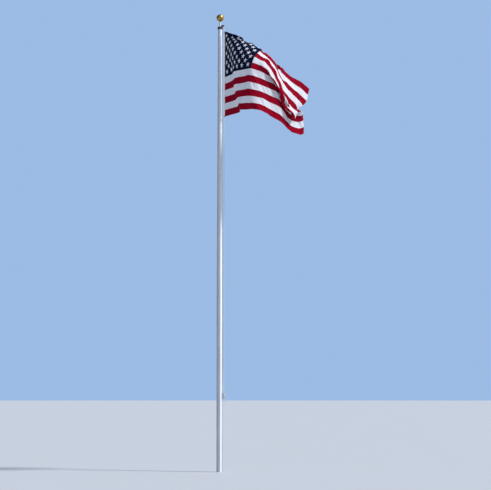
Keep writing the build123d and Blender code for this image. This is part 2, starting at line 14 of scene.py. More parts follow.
import bpy
import numpy as np
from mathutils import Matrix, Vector


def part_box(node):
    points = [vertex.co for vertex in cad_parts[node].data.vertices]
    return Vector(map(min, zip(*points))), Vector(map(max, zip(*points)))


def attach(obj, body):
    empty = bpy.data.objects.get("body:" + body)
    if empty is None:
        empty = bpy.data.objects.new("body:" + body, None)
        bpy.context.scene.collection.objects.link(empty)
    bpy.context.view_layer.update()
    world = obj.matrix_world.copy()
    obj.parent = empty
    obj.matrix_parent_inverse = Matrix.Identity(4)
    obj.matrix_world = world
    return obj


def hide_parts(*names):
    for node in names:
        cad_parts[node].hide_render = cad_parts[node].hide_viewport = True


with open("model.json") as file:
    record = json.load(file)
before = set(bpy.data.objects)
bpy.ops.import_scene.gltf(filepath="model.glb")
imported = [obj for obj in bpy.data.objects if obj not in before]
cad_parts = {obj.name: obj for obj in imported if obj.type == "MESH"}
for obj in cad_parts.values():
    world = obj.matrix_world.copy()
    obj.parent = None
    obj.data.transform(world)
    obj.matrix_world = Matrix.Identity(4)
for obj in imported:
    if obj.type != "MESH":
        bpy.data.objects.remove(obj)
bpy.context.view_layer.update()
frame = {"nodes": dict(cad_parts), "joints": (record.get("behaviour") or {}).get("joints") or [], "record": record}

# %% [markdown]
# ## Writing a finish as a sum
#
# Every finish in this scene is a small network of nodes. It could be drawn by hand in the Shader
# Editor, or each node could be added in a long list of calls. Here one class wraps a socket, so
# that a finish reads like a formula: `0.3 + 0.2 * grain` adds its own Math nodes. Vectors and
# colours go through Vector Math and Mix, because a Math node would turn them grey. Any other node
# comes from one method, which sets the node up first and then fills or links its sockets.

# %% A socket that can be used in a formula
class Wire:
    """One output socket of a finish, with Python's operators."""

    def __init__(self, finish, socket):
        self.finish = finish
        self.socket = socket

    def maths(self, operation, *values):
        """A Math node, or a Vector Math node where one of the values is a vector."""
        given = list(values)
        wires = [value for value in given if isinstance(value, Wire)]
        vector = any(wire.socket.type in ("VECTOR", "RGBA") for wire in wires)
        kind = "VectorMath" if vector else "Math"
        if vector:
            given = [value if isinstance(value, (Wire, tuple)) else (value,) * 3 for value in given]
        return self.finish.node(kind, {"operation": operation}, dict(enumerate(given)))

    def __add__(self, other):
        return self.maths("ADD", self, other)

    def __sub__(self, other):
        return self.maths("SUBTRACT", self, other)

    def __rsub__(self, other):
        return self.maths("SUBTRACT", other, self)

    def __mul__(self, other):
        return self.maths("MULTIPLY", self, other)

    __radd__ = __add__
    __rmul__ = __mul__

    def sine(self):
        return self.maths("SINE", self)

    def size(self):
        return self.maths("ABSOLUTE", self)

    def greatest(self, other):
        return self.maths("MAXIMUM", self, other)

    def part(self, axis):
        """One of a vector's three numbers."""
        return self.finish.node("SeparateXYZ", {}, {0: self}, axis)

    def eased(self, low, high):
        """0 below low, 1 above high, and a smooth step between."""
        sockets = {"Value": self, "From Min": low, "From Max": high}
        return self.finish.node("MapRange", {"interpolation_type": "SMOOTHSTEP"}, sockets)


class Finish:
    """The nodes of a material, or of the world, with one method that adds any node."""

    def __init__(self, name, shelf=bpy.data.materials):
        self.owner = shelf.new(name)
        self.owner.use_nodes = True
        self.tree = self.owner.node_tree
        self.tree.nodes.clear()

    def node(self, kind, settings, sockets, output=0):
        """Adds a node: its settings first, then the values or links of its sockets."""
        made = self.tree.nodes.new("ShaderNode" + kind)
        for name, value in settings.items():
            if name == "stops":
                self.set_stops(made.color_ramp.elements, value)
            else:
                setattr(made, name, value)
        for name, value in sockets.items():
            if isinstance(value, Wire):
                self.tree.links.new(value.socket, made.inputs[name])
            else:
                made.inputs[name].default_value = value
        return Wire(self, made.outputs[output])

    def set_stops(self, stops, places):
        """Gives a ramp its stops: a place from 0 to 1 and a colour each."""
        for _ in places[2:]:
            stops.new(0.5)
        for stop, (place, shade) in zip(stops, places):
            stop.position, stop.color = place, shade

    def place(self, scale=(1, 1, 1)):
        """Where a point is on the piece, in metres, stretched by scale."""
        spot = self.node("TexCoord", {}, {}, "Object")
        return self.node("Mapping", {}, {"Vector": spot, "Scale": scale})

    def stored(self, name):
        """A vector that the mesh stores at each of its points."""
        return self.node("Attribute", {"attribute_name": name}, {}, "Vector")

    def noise(self, where, scale, detail=3.0, roughness=0.5):
        sockets = {"Vector": where, "Scale": scale, "Detail": detail, "Roughness": roughness}
        return self.node("TexNoise", {}, sockets, "Fac")

    def blend(self, amount, first, second):
        """The first colour where amount is 0, and the second where it is 1."""
        sockets = {0: amount, 6: first, 7: second}
        return self.node("Mix", {"data_type": "RGBA"}, sockets, 2)

    def bump(self, height, distance, strength=1.0):
        sockets = {"Height": height, "Distance": distance, "Strength": strength}
        return self.node("Bump", {}, sockets, "Normal")

    def surface(self, **sockets):
        """Ends the finish in a Principled shader. A socket's name is written with _ for a space."""
        named = {name.replace("_", " "): value for name, value in sockets.items()}
        return self.end("OutputMaterial", self.node("BsdfPrincipled", {}, named))

    def end(self, kind, shader):
        """Leads a shader to the output, and gives back the material or the world."""
        output = self.tree.nodes.new("ShaderNode" + kind)
        self.tree.links.new(shader.socket, output.inputs["Surface"])
        return self.owner


def colour(red, green, blue):
    return (red, green, blue, 1.0)


print("finishes are written as formulas")

# %% [markdown]
# ## The camera
#
# The picture was taken by someone standing on the ground a long way off with a long lens, so that
# the whole pole fits in the frame. The camera could be placed by eye. Here the height of the pole
# in the picture fixes the distance and the lens together: the foot and the tip of the shaft fall
# on the rows where the picture has them, and the horizon lies below the flag, so the camera looks
# up a little.

# %% Set the camera
CAMERA_PLACE = Vector((0.526, -33.0, 1.6))
CAMERA_PITCH = radians(5.216)
LENS = 118.55
SENSOR_WIDTH = 36.0
FARTHEST_SEEN = 2000
lens = bpy.data.cameras.new("camera")
lens.lens = LENS
lens.sensor_width = SENSOR_WIDTH
lens.sensor_fit = "HORIZONTAL"
lens.clip_end = FARTHEST_SEEN
camera = bpy.data.objects.new("camera", lens)
camera.location = CAMERA_PLACE
camera.rotation_euler = (pi / 2 + CAMERA_PITCH, 0, 0)
bpy.context.scene.collection.objects.link(camera)
bpy.context.scene.camera = camera
bpy.context.scene.view_settings.view_transform = "Standard"
print("camera", list(camera.location), "pitch", round(degrees(CAMERA_PITCH), 2))

# %% [markdown]
# ## The stage
#
# The pole stands on a plain pale floor in soft light. A backdrop wall would have to be enormous
# for a nine metre pole, so the world itself is the backdrop: it shows one even sky colour to the
# camera and to reflections, and lights the object evenly. Round metal looks flat in even light,
# so, as on a table for product photographs, gloss also finds a dark card far to the left and a
# white one to the right. The floor is one large disc that keeps the shadow.

# %% Floor, world and lamps
FLOOR_RADIUS = 300.0
FLOOR_CORNERS = 128
FLOOR_COLOUR = colour(0.60, 0.61, 0.62)
BACKDROP_COLOUR = colour(0.335, 0.50, 0.78)
# what gloss shows from the left, 0, to the right, 1: a dark card, the backdrop and a white card
CARD_STOPS = [
    (0.16, colour(0.015, 0.04, 0.08)),
    (0.34, BACKDROP_COLOUR),
    (0.66, BACKDROP_COLOUR),
    (0.84, colour(0.88, 0.92, 0.98)),
]
SKY_LIGHT_COLOUR = colour(0.50, 0.65, 1.0)
SKY_LIGHT = 0.37
KEY_DIRECTION = Vector((0.60, -0.20, 0.77))
KEY_STRENGTH = 3.1
KEY_SOFTNESS = radians(9)
FILL_DIRECTION = Vector((-0.75, -0.6, 0.3))
FILL_STRENGTH = 0.12
FILL_SOFTNESS = radians(40)


def stage_floor():
    """A flat disc at the foot of the pole."""
    finish = Finish("floor")
    grain = finish.noise(finish.place(), 0.8)
    shade = finish.blend(grain.eased(0.3, 0.7), FLOOR_COLOUR, colour(0.60, 0.62, 0.64))
    material = finish.surface(Base_Color=shade, Roughness=0.9)
    rim = [2 * pi * i / FLOOR_CORNERS for i in range(FLOOR_CORNERS)]
    mesh = bpy.data.meshes.new("floor")
    points = [(FLOOR_RADIUS * cos(a), FLOOR_RADIUS * sin(a), 0) for a in rim]
    mesh.from_pydata(points, [], [list(range(FLOOR_CORNERS))])
    mesh.materials.append(material)
    floor = bpy.data.objects.new("floor", mesh)
    bpy.context.scene.collection.objects.link(floor)


def studio_world():
    """Even light, and a backdrop where the camera or a reflection looks."""
    sky = Finish("studio", bpy.data.worlds)
    rays = ("Is Camera Ray", "Is Transmission Ray", "Is Glossy Ray")
    camera_ray, clear_ray, gloss_ray = [sky.node("LightPath", {}, {}, ray) for ray in rays]
    shown = camera_ray.greatest(clear_ray).greatest(gloss_ray)
    across = sky.node("TexCoord", {}, {}, "Generated").part(0) * 0.5 + 0.5
    cards = sky.node("ValToRGB", {"stops": CARD_STOPS}, {0: across})
    backdrop = sky.node("Background", {}, {"Color": sky.blend(camera_ray, cards, BACKDROP_COLOUR)})
    light = sky.node("Background", {}, {"Color": SKY_LIGHT_COLOUR, "Strength": SKY_LIGHT})
    mixed = sky.node("MixShader", {}, {0: shown, 1: light, 2: backdrop})
    bpy.context.scene.world = sky.end("OutputWorld", mixed)


def far_lamp(name, direction, strength, softness):
    """A lamp so far away that its light is parallel, shining from the given direction."""
    data = bpy.data.lights.new(name, "SUN")
    data.energy = strength
    data.angle = softness
    lamp = bpy.data.objects.new(name, data)
    lamp.rotation_euler = direction.to_track_quat("Z", "Y").to_euler()
    bpy.context.scene.collection.objects.link(lamp)


stage_floor()
studio_world()
far_lamp("key_lamp", KEY_DIRECTION, KEY_STRENGTH, KEY_SOFTNESS)
far_lamp("fill_lamp", FILL_DIRECTION, FILL_STRENGTH, FILL_SOFTNESS)
print("stage with", len(bpy.data.lights), "lamps")

# %% [markdown]
# ## Metal finishes
#
# The shaft is extruded and spun aluminium with a satin finish: fine lines run along it, and years
# of rain leave pale and dull streaks down it. The truck is a dark painted casting with a grainy
# skin. The ball is gold anodised aluminium. The cleat and the sheave are bare castings, and the
# small parts are zinc plated steel, bronze and brass. Noise that is stretched along one axis gives
# brushed lines and streaks, and the same noise drives both roughness and a shallow bump, as a real
# scratch does.

# %% Satin aluminium
def satin_aluminium():
    finish = Finish("satin_aluminium")
    lines = finish.noise(finish.place((900, 900, 6)), 1.0, 4.0)
    streaks = finish.noise(finish.place((26, 26, 0.7)), 1.0, 3.0)
    clouds = finish.noise(finish.place((5, 5, 1.6)), 1.0, 4.0, 0.6)
    dull = streaks.eased(0.45, 0.75)
    clean = finish.blend(clouds.eased(0.3, 0.7), colour(0.80, 0.81, 0.84), colour(0.73, 0.75, 0.78))
    shade = finish.blend(dull * 0.35, clean, colour(0.62, 0.64, 0.66))
    rough = 0.42 + lines * 0.08 + dull * 0.10
    lift = finish.bump(lines, 0.0002, 0.35)
    sockets = {"Base_Color": shade, "Roughness": rough, "Normal": lift}
    return finish.surface(**sockets, Metallic=0.85, Anisotropic=0.9, Anisotropic_Rotation=0.25)


# %% Cast and painted metal
def casting(name, grain, patches, ease, shades, share, gloss, strength, **sockets):
    """Grainy cast metal whose colour goes from the first shade towards the second in patches."""
    finish = Finish(name)
    sand = finish.noise(finish.place(), grain, 4.0, 0.6)
    stain = finish.noise(finish.place(), *patches).eased(*ease)
    shade = finish.blend(stain * share, *shades)
    rough = 0.42 + sand * gloss[0] + stain * gloss[1]
    bump = finish.bump(sand, 0.0003, strength)
    return finish.surface(Base_Color=shade, Roughness=rough, Normal=bump, **sockets)


painted = colour(0.030, 0.033, 0.038), colour(0.12, 0.12, 0.12)
bare = colour(0.66, 0.67, 0.68), colour(0.44, 0.45, 0.46)
dark_casting = casting(
    "dark_casting", 1400, (60, 5.0, 0.65), (0.52, 0.72), painted, 0.4, (0.12, 0.15), 0.5)
cast_aluminium = casting(
    "cast_aluminium", 1100, (70, 5.0, 0.6), (0.45, 0.7), bare, 0.6, (0.15, 0.1), 0.45, Metallic=1.0)
print("castings", dark_casting.name, cast_aluminium.name)

# %% Gold, zinc, bronze and brass
PATCH_SCALE = 160


def gold_anodised():
    finish = Finish("gold")
    spun = finish.noise(finish.place((4, 4, 900)), 1.0, 3.0)
    clouds = finish.noise(finish.place(), 22, 4.0, 0.55).eased(0.35, 0.7)
    shade = finish.blend(clouds, colour(0.50, 0.29, 0.065), colour(0.36, 0.20, 0.045))
    rough = 0.28 + spun * 0.08 + clouds * 0.05
    bump = finish.bump(spun, 0.0001, 0.3)
    return finish.surface(Base_Color=shade, Metallic=1.0, Roughness=rough, Normal=bump)


def plated(name, bright, dull, rough):
    """A small metal part whose colour goes from bright to dull in patches."""
    finish = Finish(name)
    patches = finish.noise(finish.place(), PATCH_SCALE, 5.0, 0.6).eased(0.4, 0.7)
    scratches = finish.noise(finish.place((2500, 2500, 300)), 1.0, 3.0)
    shade = finish.blend(patches, bright, dull)
    bump = finish.bump(scratches, 0.0001, 0.4)
    gloss = rough + patches * 0.15 + scratches * 0.08
    return finish.surface(Base_Color=shade, Metallic=1.0, Roughness=gloss, Normal=bump)


metals = {
    "satin_aluminium": satin_aluminium(),
    "dark_casting": dark_casting,
    "cast_aluminium": cast_aluminium,
    "gold": gold_anodised(),
    "zinc_steel": plated("zinc_steel", colour(0.66, 0.67, 0.68), colour(0.50, 0.51, 0.52), 0.30),
    "bronze": plated("bronze", colour(0.26, 0.18, 0.11), colour(0.11, 0.085, 0.065), 0.38),
    "brass": plated("brass", colour(0.78, 0.59, 0.27), colour(0.52, 0.39, 0.20), 0.28),
}
print("metal finishes", sorted(metals))

# %% [markdown]
# ## Cloth finishes
#
# The flag is woven bunting: thin, matt, and sewn from strips in three colours. The weave is a
# pattern of two crossing waves, one thread a wave, in the cloth's own coordinates, so it bends
# with every fold. Those coordinates are stored on the mesh in metres: how far from the heading,
# and how far down. The heading is thicker canvas with a coarser weave.

# %% Woven cloth
THREAD = 0.0011
CANVAS_THREAD = 0.0016
CLOTH_GLOSS = 0.03


def woven(name, main, faded, thread=THREAD, rough=0.75, depth=0.0002):
    """Plain weave: over and under in two directions, with colour that fades in patches."""
    finish = Finish(name)
    cloth = finish.stored("cloth")
    warp = (cloth.part(0) * (2 * pi / thread)).sine()
    weft = (cloth.part(1) * (2 * pi / thread)).sine()
    weave = (warp * weft) * 0.5 + 0.5
    slub = finish.noise(finish.node("Mapping", {}, {"Vector": cloth, "Scale": (30, 900, 1)}), 1.0)
    patches = finish.noise(cloth, 3.5, 4.0, 0.6).eased(0.3, 0.75)
    shade = finish.blend(patches * 0.6 + slub * 0.25, main, faded)
    gloss = rough + slub * 0.12
    bump = finish.bump(weave * 0.6 + slub * 0.4, depth, 0.5)
    sockets = {"Base_Color": shade, "Roughness": gloss, "Normal": bump}
    return finish.surface(**sockets, Specular_IOR_Level=CLOTH_GLOSS)


CLOTH_COLOURS = {
    "red": colour(0.30, 0.0015, 0.015),
    "white": colour(0.83, 0.83, 0.85),
    "blue": colour(0.003, 0.0065, 0.028),
}
FADED_COLOURS = {
    "red": colour(0.34, 0.003, 0.019),
    "white": colour(0.78, 0.78, 0.81),
    "blue": colour(0.005, 0.010, 0.038),
}
bunting_finish = {
    name: woven(name + "_bunting", CLOTH_COLOURS[name], FADED_COLOURS[name])
    for name in CLOTH_COLOURS
}
canvas_shades = colour(0.84, 0.83, 0.78), colour(0.76, 0.75, 0.69)
canvas = woven("canvas", *canvas_shades, CANVAS_THREAD, 0.8, 0.0003)
thread_shades = colour(0.88, 0.88, 0.86), colour(0.80, 0.80, 0.78)
thread_white = woven("white_thread", *thread_shades, rough=0.7, depth=0.0001)
print("cloth finishes", sorted(bunting_finish), canvas.name, thread_white.name)

# %% [markdown]
# ## Pieces
#
# Each new piece is a mesh written point by point from a rule, because rules such as "eight strands
# cross on a rope" or "twelve seams follow the cloth" are exact and stay easy to change. One helper
# turns the points and faces into an object, gives it its finish and lets it ride on a body of the
# model.

# %% Make a piece
def joined(parts):
    """The points, faces and stored places of several parts as one."""
    points, faces, places = [], [], []
    first = 0
    for spots, part_faces, part_places in parts:
        faces += [[int(corner) + first for corner in face] for face in part_faces]
        first += len(spots)
        points.append(spots)
        places.append(part_places)
    return np.vstack(points), faces, np.vstack(places)


def piece(name, parts, materials, body, which=None, kept="cloth"):
    """A mesh piece that rides on a body. which gives each face's place in materials.

    Each part is its points, its faces and two numbers a point, which the mesh keeps for the
    finish: the point's place on the cloth or, with kept="rope", on the rope.
    """
    points, faces, places = joined(parts)
    mesh = bpy.data.meshes.new(name)
    mesh.from_pydata(points.tolist(), [], faces)
    for material in materials:
        mesh.materials.append(material)
    if which is not None:
        mesh.polygons.foreach_set("material_index", np.asarray(which, np.int32))
    mesh.polygons.foreach_set("use_smooth", [True] * len(faces))
    mesh.update()
    stored = np.zeros((len(points), 3), np.float32)
    stored[:, :2] = places
    mesh.attributes.new(kept, "FLOAT_VECTOR", "POINT").data.foreach_set("vector", stored.ravel())
    made = bpy.data.objects.new(name, mesh)
    bpy.context.scene.collection.objects.link(made)
    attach(made, body)
    return made


def grid_faces(rows, columns, first=0, flip=False, closed=False):
    """Four-sided faces between the points of a grid, row after row."""
    faces = []
    last = columns if closed else columns - 1
    for i in range(rows - 1):
        for j in range(last):
            k = (j + 1) % columns
            corners = [(i, j), (i, k), (i + 1, k), (i + 1, j)]
            corners = [first + row * columns + column for row, column in corners]
            faces.append(corners[::-1] if flip else corners)
    return faces


print("a grid of 3 by 4 points has", len(grid_faces(3, 4)), "faces")

# %% [markdown]
# ## The flag: what it is and how it hangs
#
# The flag is a flat sheet of thirteen sewn stripes with a blue canton. In the wind it turns
# towards the viewer, bends round a ridge and runs back to the right, and its lower fly folds
# under. Cloth can bend freely but hardly stretches, and that one fact gives flags their look. A
# wind simulation would give some flag, but not this one. So the sheet is solved instead: it starts
# from guide points, chosen where a star or a seam can be recognised in the picture, each
# with a guess of how much nearer to the viewer it lies. Then the solver moves the sheet until its
# threads have nearly their own length again: hardly any is stretched, and spare length gathers in
# the folds.

# %% Sizes of the flat flag
STRIPES = 13
FLY_LENGTH = 2.95
CANTON_SHARE = 0.4
CANTON_STRIPES = 7
HEADING_TURN = radians(-80)
SEAM_REACH = 0.079

swing = next(joint for joint in frame["joints"] if joint["name"] == "flag_swing")
heading_low, heading_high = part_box("flag_heading")
FLAG_TOP = heading_high.z
HOIST = heading_high.z - heading_low.z
rope_line = Vector(swing["pos_m"])
seam_place = rope_line + SEAM_REACH * Vector((cos(HEADING_TURN), sin(HEADING_TURN), 0))
stripe_width = HOIST / STRIPES
canton_length = CANTON_SHARE * FLY_LENGTH
print("hoist", round(HOIST, 3), "top", round(FLAG_TOP, 3))
print("the bunting starts at", [round(v, 4) for v in seam_place])

# %% [markdown]
# The guide points are in pixels of the 491 by 490 picture, with the distance along the fly and the
# nearness in metres. A star is named by its column, 1 to 11, and its row, 1 to 9. A seam is named
# by its number, from 0 at the top edge to 13 at the bottom edge. The picture doesn't show depth,
# so the nearness is a guess, and what is folded behind the rest gets a few guesses of its own.

# %% Guide points
# row of stars: (column, picture x, picture y, nearness)
STAR_GUIDES = {
    1: [(1, 226.2, 35.2, 0.08), (3, 232.6, 37.9, 0.24)],
    2: [(2, 228.0, 38.0, 0.17), (4, 234.8, 39.5, 0.33), (6, 239.8, 39.8, 0.45)],
    3: [(3, 229.3, 41.6, 0.26), (5, 235.8, 41.1, 0.41), (7, 243.2, 41.9, 0.53),
        (9, 251.4, 44.1, 0.62), (11, 259.6, 47.9, 0.66)],
    4: [(4, 230.9, 44.8, 0.28), (6, 237.5, 44.1, 0.45), (8, 245.3, 44.9, 0.6),
        (10, 253.4, 46.9, 0.72)],
    5: [(3, 229.8, 50.5, 0.27), (5, 232.5, 48.1, 0.45), (7, 239.5, 47.8, 0.58),
        (9, 246.8, 48.5, 0.71), (11, 255.0, 50.1, 0.8)],
    6: [(6, 234.2, 52.4, 0.5), (8, 241.2, 51.5, 0.68), (10, 248.7, 52.3, 0.82)],
    7: [(5, 232.5, 58.1, 0.46), (7, 236.5, 56.4, 0.63), (9, 242.8, 56.0, 0.77),
        (11, 250.6, 56.3, 0.89)],
    8: [(6, 234.4, 62.3, 0.55), (8, 238.9, 61.0, 0.72), (10, 244.8, 60.4, 0.88)],
    9: [(7, 236.9, 66.5, 0.64), (9, 241.7, 65.3, 0.8), (11, 247.6, 64.9, 0.95)],
}
# seam: (distance along the fly, picture x, picture y, nearness)
SEAM_GUIDES = {
    0: [(0.15, 228.2, 33.4, 0.12), (0.295, 232.7, 34.8, 0.23), (0.45, 237.4, 36.3, 0.33),
        (0.6, 242.3, 37.9, 0.4), (2.0, 280.6, 67.6, 0.36), (2.15, 283.8, 70.3, 0.28),
        (2.35, 288.9, 74.7, 0.16), (2.52, 294.9, 78.6, 0.16), (2.68, 300.9, 80.7, 0.13),
        (2.83, 306.0, 85.0, 0.09), (2.95, 309.2, 88.2, 0.07)],
    1: [(0.9, 252.6, 42.8, 0.5), (2.15, 282.4, 73.0, 0.3), (2.35, 288.9, 79.8, 0.26),
        (2.65, 299.2, 87.1, 0.2), (2.95, 307.7, 94.5, 0.12)],
    2: [(1.18, 261.8, 49.4, 0.59), (1.35, 266.1, 52.6, 0.58), (1.52, 270.8, 56.4, 0.56),
        (1.68, 274.8, 61.0, 0.5), (1.86, 277.0, 67.0, 0.45), (2.15, 282.1, 79.5, 0.33),
        (2.95, 308.1, 101.7, 0.15)],
    3: [(1.18, 260.2, 51.3, 0.72), (1.35, 264.1, 55.3, 0.71), (1.52, 269.0, 59.7, 0.69),
        (1.68, 273.1, 64.4, 0.63), (2.15, 282.6, 81.1, 0.45), (2.6, 294.9, 97.3, 0.38),
        (2.95, 303.3, 106.1, 0.28)],
    4: [(1.18, 257.3, 52.9, 0.83), (1.5, 268.4, 59.4, 0.82), (1.82, 276.1, 70.0, 0.66),
        (2.17, 280.8, 82.8, 0.58), (2.43, 285.1, 92.2, 0.54), (2.725, 292.3, 100.8, 0.46),
        (2.95, 296.7, 108.6, 0.4)],
    5: [(1.18, 254.7, 56.1, 0.93), (1.5, 265.0, 62.1, 0.92), (1.8, 271.4, 70.0, 0.8),
        (2.12, 277.8, 82.8, 0.74), (2.45, 281.8, 97.3, 0.68), (2.95, 291.9, 111.9, 0.54)],
    6: [(1.18, 252.0, 62.4, 0.96), (1.5, 263.5, 67.0, 1.0), (1.8, 270.9, 77.0, 0.92),
        (2.05, 276.2, 88.0, 0.88), (2.35, 279.8, 99.0, 0.82), (2.6, 283.4, 108.5, 0.76),
        (2.95, 290.2, 117.5, 0.62)],
    7: [(0.27, 232.7, 73.8, 0.24), (0.5, 233.2, 71.4, 0.47), (1.18, 250.6, 67.4, 1.02),
        (1.45, 261.3, 70.1, 0.92), (1.71, 270.7, 75.6, 0.74)],
    8: [(1.15, 249.2, 74.5, 1.0), (1.5, 262.0, 78.9, 0.88), (1.82, 274.5, 83.3, 0.7)],
    9: [(0.3, 233.6, 87.4, 0.26), (0.56, 233.7, 83.9, 0.5), (1.15, 249.5, 80.2, 1.0),
        (1.5, 262.0, 83.7, 0.88), (1.86, 276.0, 89.0, 0.7)],
    10: [(0.34, 235.6, 94.1, 0.28), (0.6, 235.8, 90.2, 0.53), (1.1, 247.3, 88.7, 0.97),
         (1.5, 262.8, 92.5, 0.9), (1.9, 278.7, 99.7, 0.72), (2.95, 302.8, 114.2, 0.2)],
    11: [(1.1, 247.0, 95.1, 0.97), (1.5, 263.5, 97.6, 0.89), (1.94, 280.0, 105.1, 0.68),
         (2.95, 303.0, 119.8, 0.15)],
    12: [(0.42, 238.2, 107.0, 0.34), (0.68, 238.0, 102.9, 0.58), (1.08, 246.6, 102.9, 0.95),
         (1.5, 262.0, 103.9, 0.92), (1.9, 276.7, 113.0, 0.68), (2.14, 284.0, 117.8, 0.52),
         (2.95, 303.3, 127.5, 0.12)],
    13: [(0.5, 240.0, 112.3, 0.4), (0.76, 240.2, 109.5, 0.66), (0.95, 247.3, 109.7, 0.84),
         (1.15, 254.7, 110.3, 0.98), (1.35, 259.8, 110.7, 1.0), (1.55, 266.4, 114.1, 0.87),
         (1.8, 273.8, 118.9, 0.7), (2.05, 282.6, 123.3, 0.56), (2.2, 286.2, 128.4, 0.48),
         (2.4, 291.4, 132.1, 0.36), (2.65, 298.7, 134.2, 0.2), (2.95, 303.7, 133.6, -0.02)],
}
# out of sight: (distance along the fly, seam, picture x, picture y, nearness)
HIDDEN_GUIDES = [
    (1.18, 1, 260.6, 51.8, 0.47), (1.4, 1, 265.6, 55.6, 0.46), (1.65, 1, 272.4, 62.8, 0.42),
    (1.18, 0, 259.0, 54.0, 0.45), (1.5, 0, 268.5, 61.0, 0.42), (1.76, 0, 275.4, 63.6, 0.42),
    (1.88, 0, 278.0, 65.5, 0.4), (1.78, 1, 275.4, 66.2, 0.39), (1.9, 1, 277.6, 68.8, 0.37),
    (1.85, 7, 274.0, 80.5, 0.8), (2.05, 7, 279.5, 88.5, 0.72), (2.4, 7, 286.0, 101.5, 0.64),
    (2.7, 7, 291.0, 112.5, 0.62), (2.95, 7, 294.0, 121.5, 0.58), (2.05, 8, 280.0, 92.0, 0.62),
    (2.4, 8, 287.5, 106.5, 0.58), (2.7, 8, 294.0, 108.5, 0.44), (2.95, 8, 297.6, 111.5, 0.36),
    (2.05, 9, 281.5, 96.0, 0.6), (2.4, 9, 289.5, 110.0, 0.52), (2.7, 9, 297.3, 109.2, 0.36),
    (2.95, 9, 301.6, 109.0, 0.24), (2.4, 10, 289.5, 114.0, 0.46), (2.7, 10, 297.0, 115.5, 0.28),
    (2.4, 11, 289.5, 119.5, 0.42), (2.7, 11, 297.5, 122.0, 0.22), (2.4, 12, 291.0, 126.0, 0.38),
    (2.7, 12, 298.0, 129.0, 0.17),
]
PICTURE_WIDTH = 491
PICTURE_HEIGHT = 490
STAR_ROWS = 9
STAR_COLUMNS = 11
HEADING_HOLD = 4.0
SEEN_HOLD = 1.0
HIDDEN_HOLD = 0.5


def star_place(column, row):
    """A star's middle on the flat cloth."""
    along = column * canton_length / (STAR_COLUMNS + 1)
    return along, row * CANTON_STRIPES * stripe_width / (STAR_ROWS + 1)


def sight(x, y):
    """The direction in which the camera sees a pixel of the picture."""
    focal = LENS / SENSOR_WIDTH * PICTURE_WIDTH
    right = (x - PICTURE_WIDTH / 2) / focal
    up = (PICTURE_HEIGHT / 2 - y) / focal
    forward = cos(CAMERA_PITCH) - up * sin(CAMERA_PITCH)
    rise = sin(CAMERA_PITCH) + up * cos(CAMERA_PITCH)
    return Vector((right, forward, rise)).normalized()


def guide(along, down, x, y, nearness, hold):
    """One guide: a place on the flat cloth, its point in space, its hold and its line of sight."""
    line = sight(x, y)
    travel = (seam_place.y - nearness - CAMERA_PLACE.y) / line.y
    free = tuple(line) if hold == SEEN_HOLD else (0, 0, 0)
    return (along, down, *(CAMERA_PLACE + travel * line), hold, *free)


def all_guides():
    """Every guide: the heading first, then the stars, the seams and what is out of sight."""
    rows = []
    for seam in range(STRIPES + 1):
        down = seam * stripe_width
        rows.append((0, down, seam_place.x, seam_place.y, FLAG_TOP - down, HEADING_HOLD, 0, 0, 0))
    for row, stars in STAR_GUIDES.items():
        for column, x, y, nearness in stars:
            rows.append(guide(*star_place(column, row), x, y, nearness, SEEN_HOLD))
    for seam, marks in SEAM_GUIDES.items():
        for along, x, y, nearness in marks:
            rows.append(guide(along, seam * stripe_width, x, y, nearness, SEEN_HOLD))
    for along, seam, x, y, nearness in HIDDEN_GUIDES:
        rows.append(guide(along, seam * stripe_width, x, y, nearness, HIDDEN_HOLD))
    return np.array(rows)


guides = all_guides()
print("guide points", len(guides))

# %% [markdown]
# The first guess of the sheet is the smoothest surface through the guide points, a thin-plate
# spline: it bends as little as it can, like a springy metal sheet pushed onto pins. It doesn't
# know that cloth can't stretch, so it is only a start.

# %% First guess
GUIDE_SLACK = 1e-2
TINY = 1e-12


def spring(squared):
    """The thin plate's bending function of a squared distance."""
    return np.where(squared > TINY, squared * np.log(squared + TINY), 0)


def thin_plate(marks, flat):
    """Bends a sheet through the marks with the least bending, and reads it at the flat places."""
    pins, places, count = marks[:, :2], marks[:, 2:5], len(marks)
    pull = spring(((pins[:, None] - pins[None]) ** 2).sum(2)) + np.diag(GUIDE_SLACK / marks[:, 5])
    system = np.zeros((count + 3, count + 3))
    system[:count, :count] = pull
    system[:count, count] = system[count, :count] = 1
    system[:count, count + 1:] = pins
    system[count + 1:, :count] = pins.T
    wanted = np.zeros((count + 3, 3))
    wanted[:count] = places
    weights = np.linalg.solve(system, wanted)
    reach = spring(((flat[:, None] - pins[None]) ** 2).sum(2))
    return reach @ weights[:count] + weights[count] + flat @ weights[count + 1:]


def flat_grid(rows, columns):
    """Every grid point's place on the flat cloth: (along the fly, down the hoist)."""
    downs, alongs = np.linspace(0, HOIST, rows), np.linspace(0, FLY_LENGTH, columns)
    down, along = np.meshgrid(downs, alongs, indexing="ij")
    return np.stack([along, down], 2)


COARSE = (14, 21)
flat = flat_grid(*COARSE)
start = thin_plate(guides, flat.reshape(-1, 2)).reshape(*COARSE, 3)
print("first guess", start.min((0, 1)).round(2), start.max((0, 1)).round(2))

# %% [markdown]
# The solver then works like a cloth simulation with the wind frozen. In each pass the guides pull
# a little, bending is smoothed a little, and every thread is set back to its own length. A thread
# resists being squeezed far less than being stretched, as cloth does, so spare length can gather.
# It uses no random numbers, so the flag is the same in every run.

# %% Threads that keep their length
DIAGONAL_HOLD = 0.3
SQUEEZE_HOLD = 0.15


def keep_length(first, second, length, hold=1.0):
    """Moves two rows of points together until they are the given length apart, or gently apart."""
    gap = second - first
    now = np.linalg.norm(gap, axis=-1, keepdims=True) + TINY
    firmness = np.where(now < length, hold * SQUEEZE_HOLD, hold)
    move = (now - length) / now * gap * 0.5 * firmness
    first += move
    second -= move


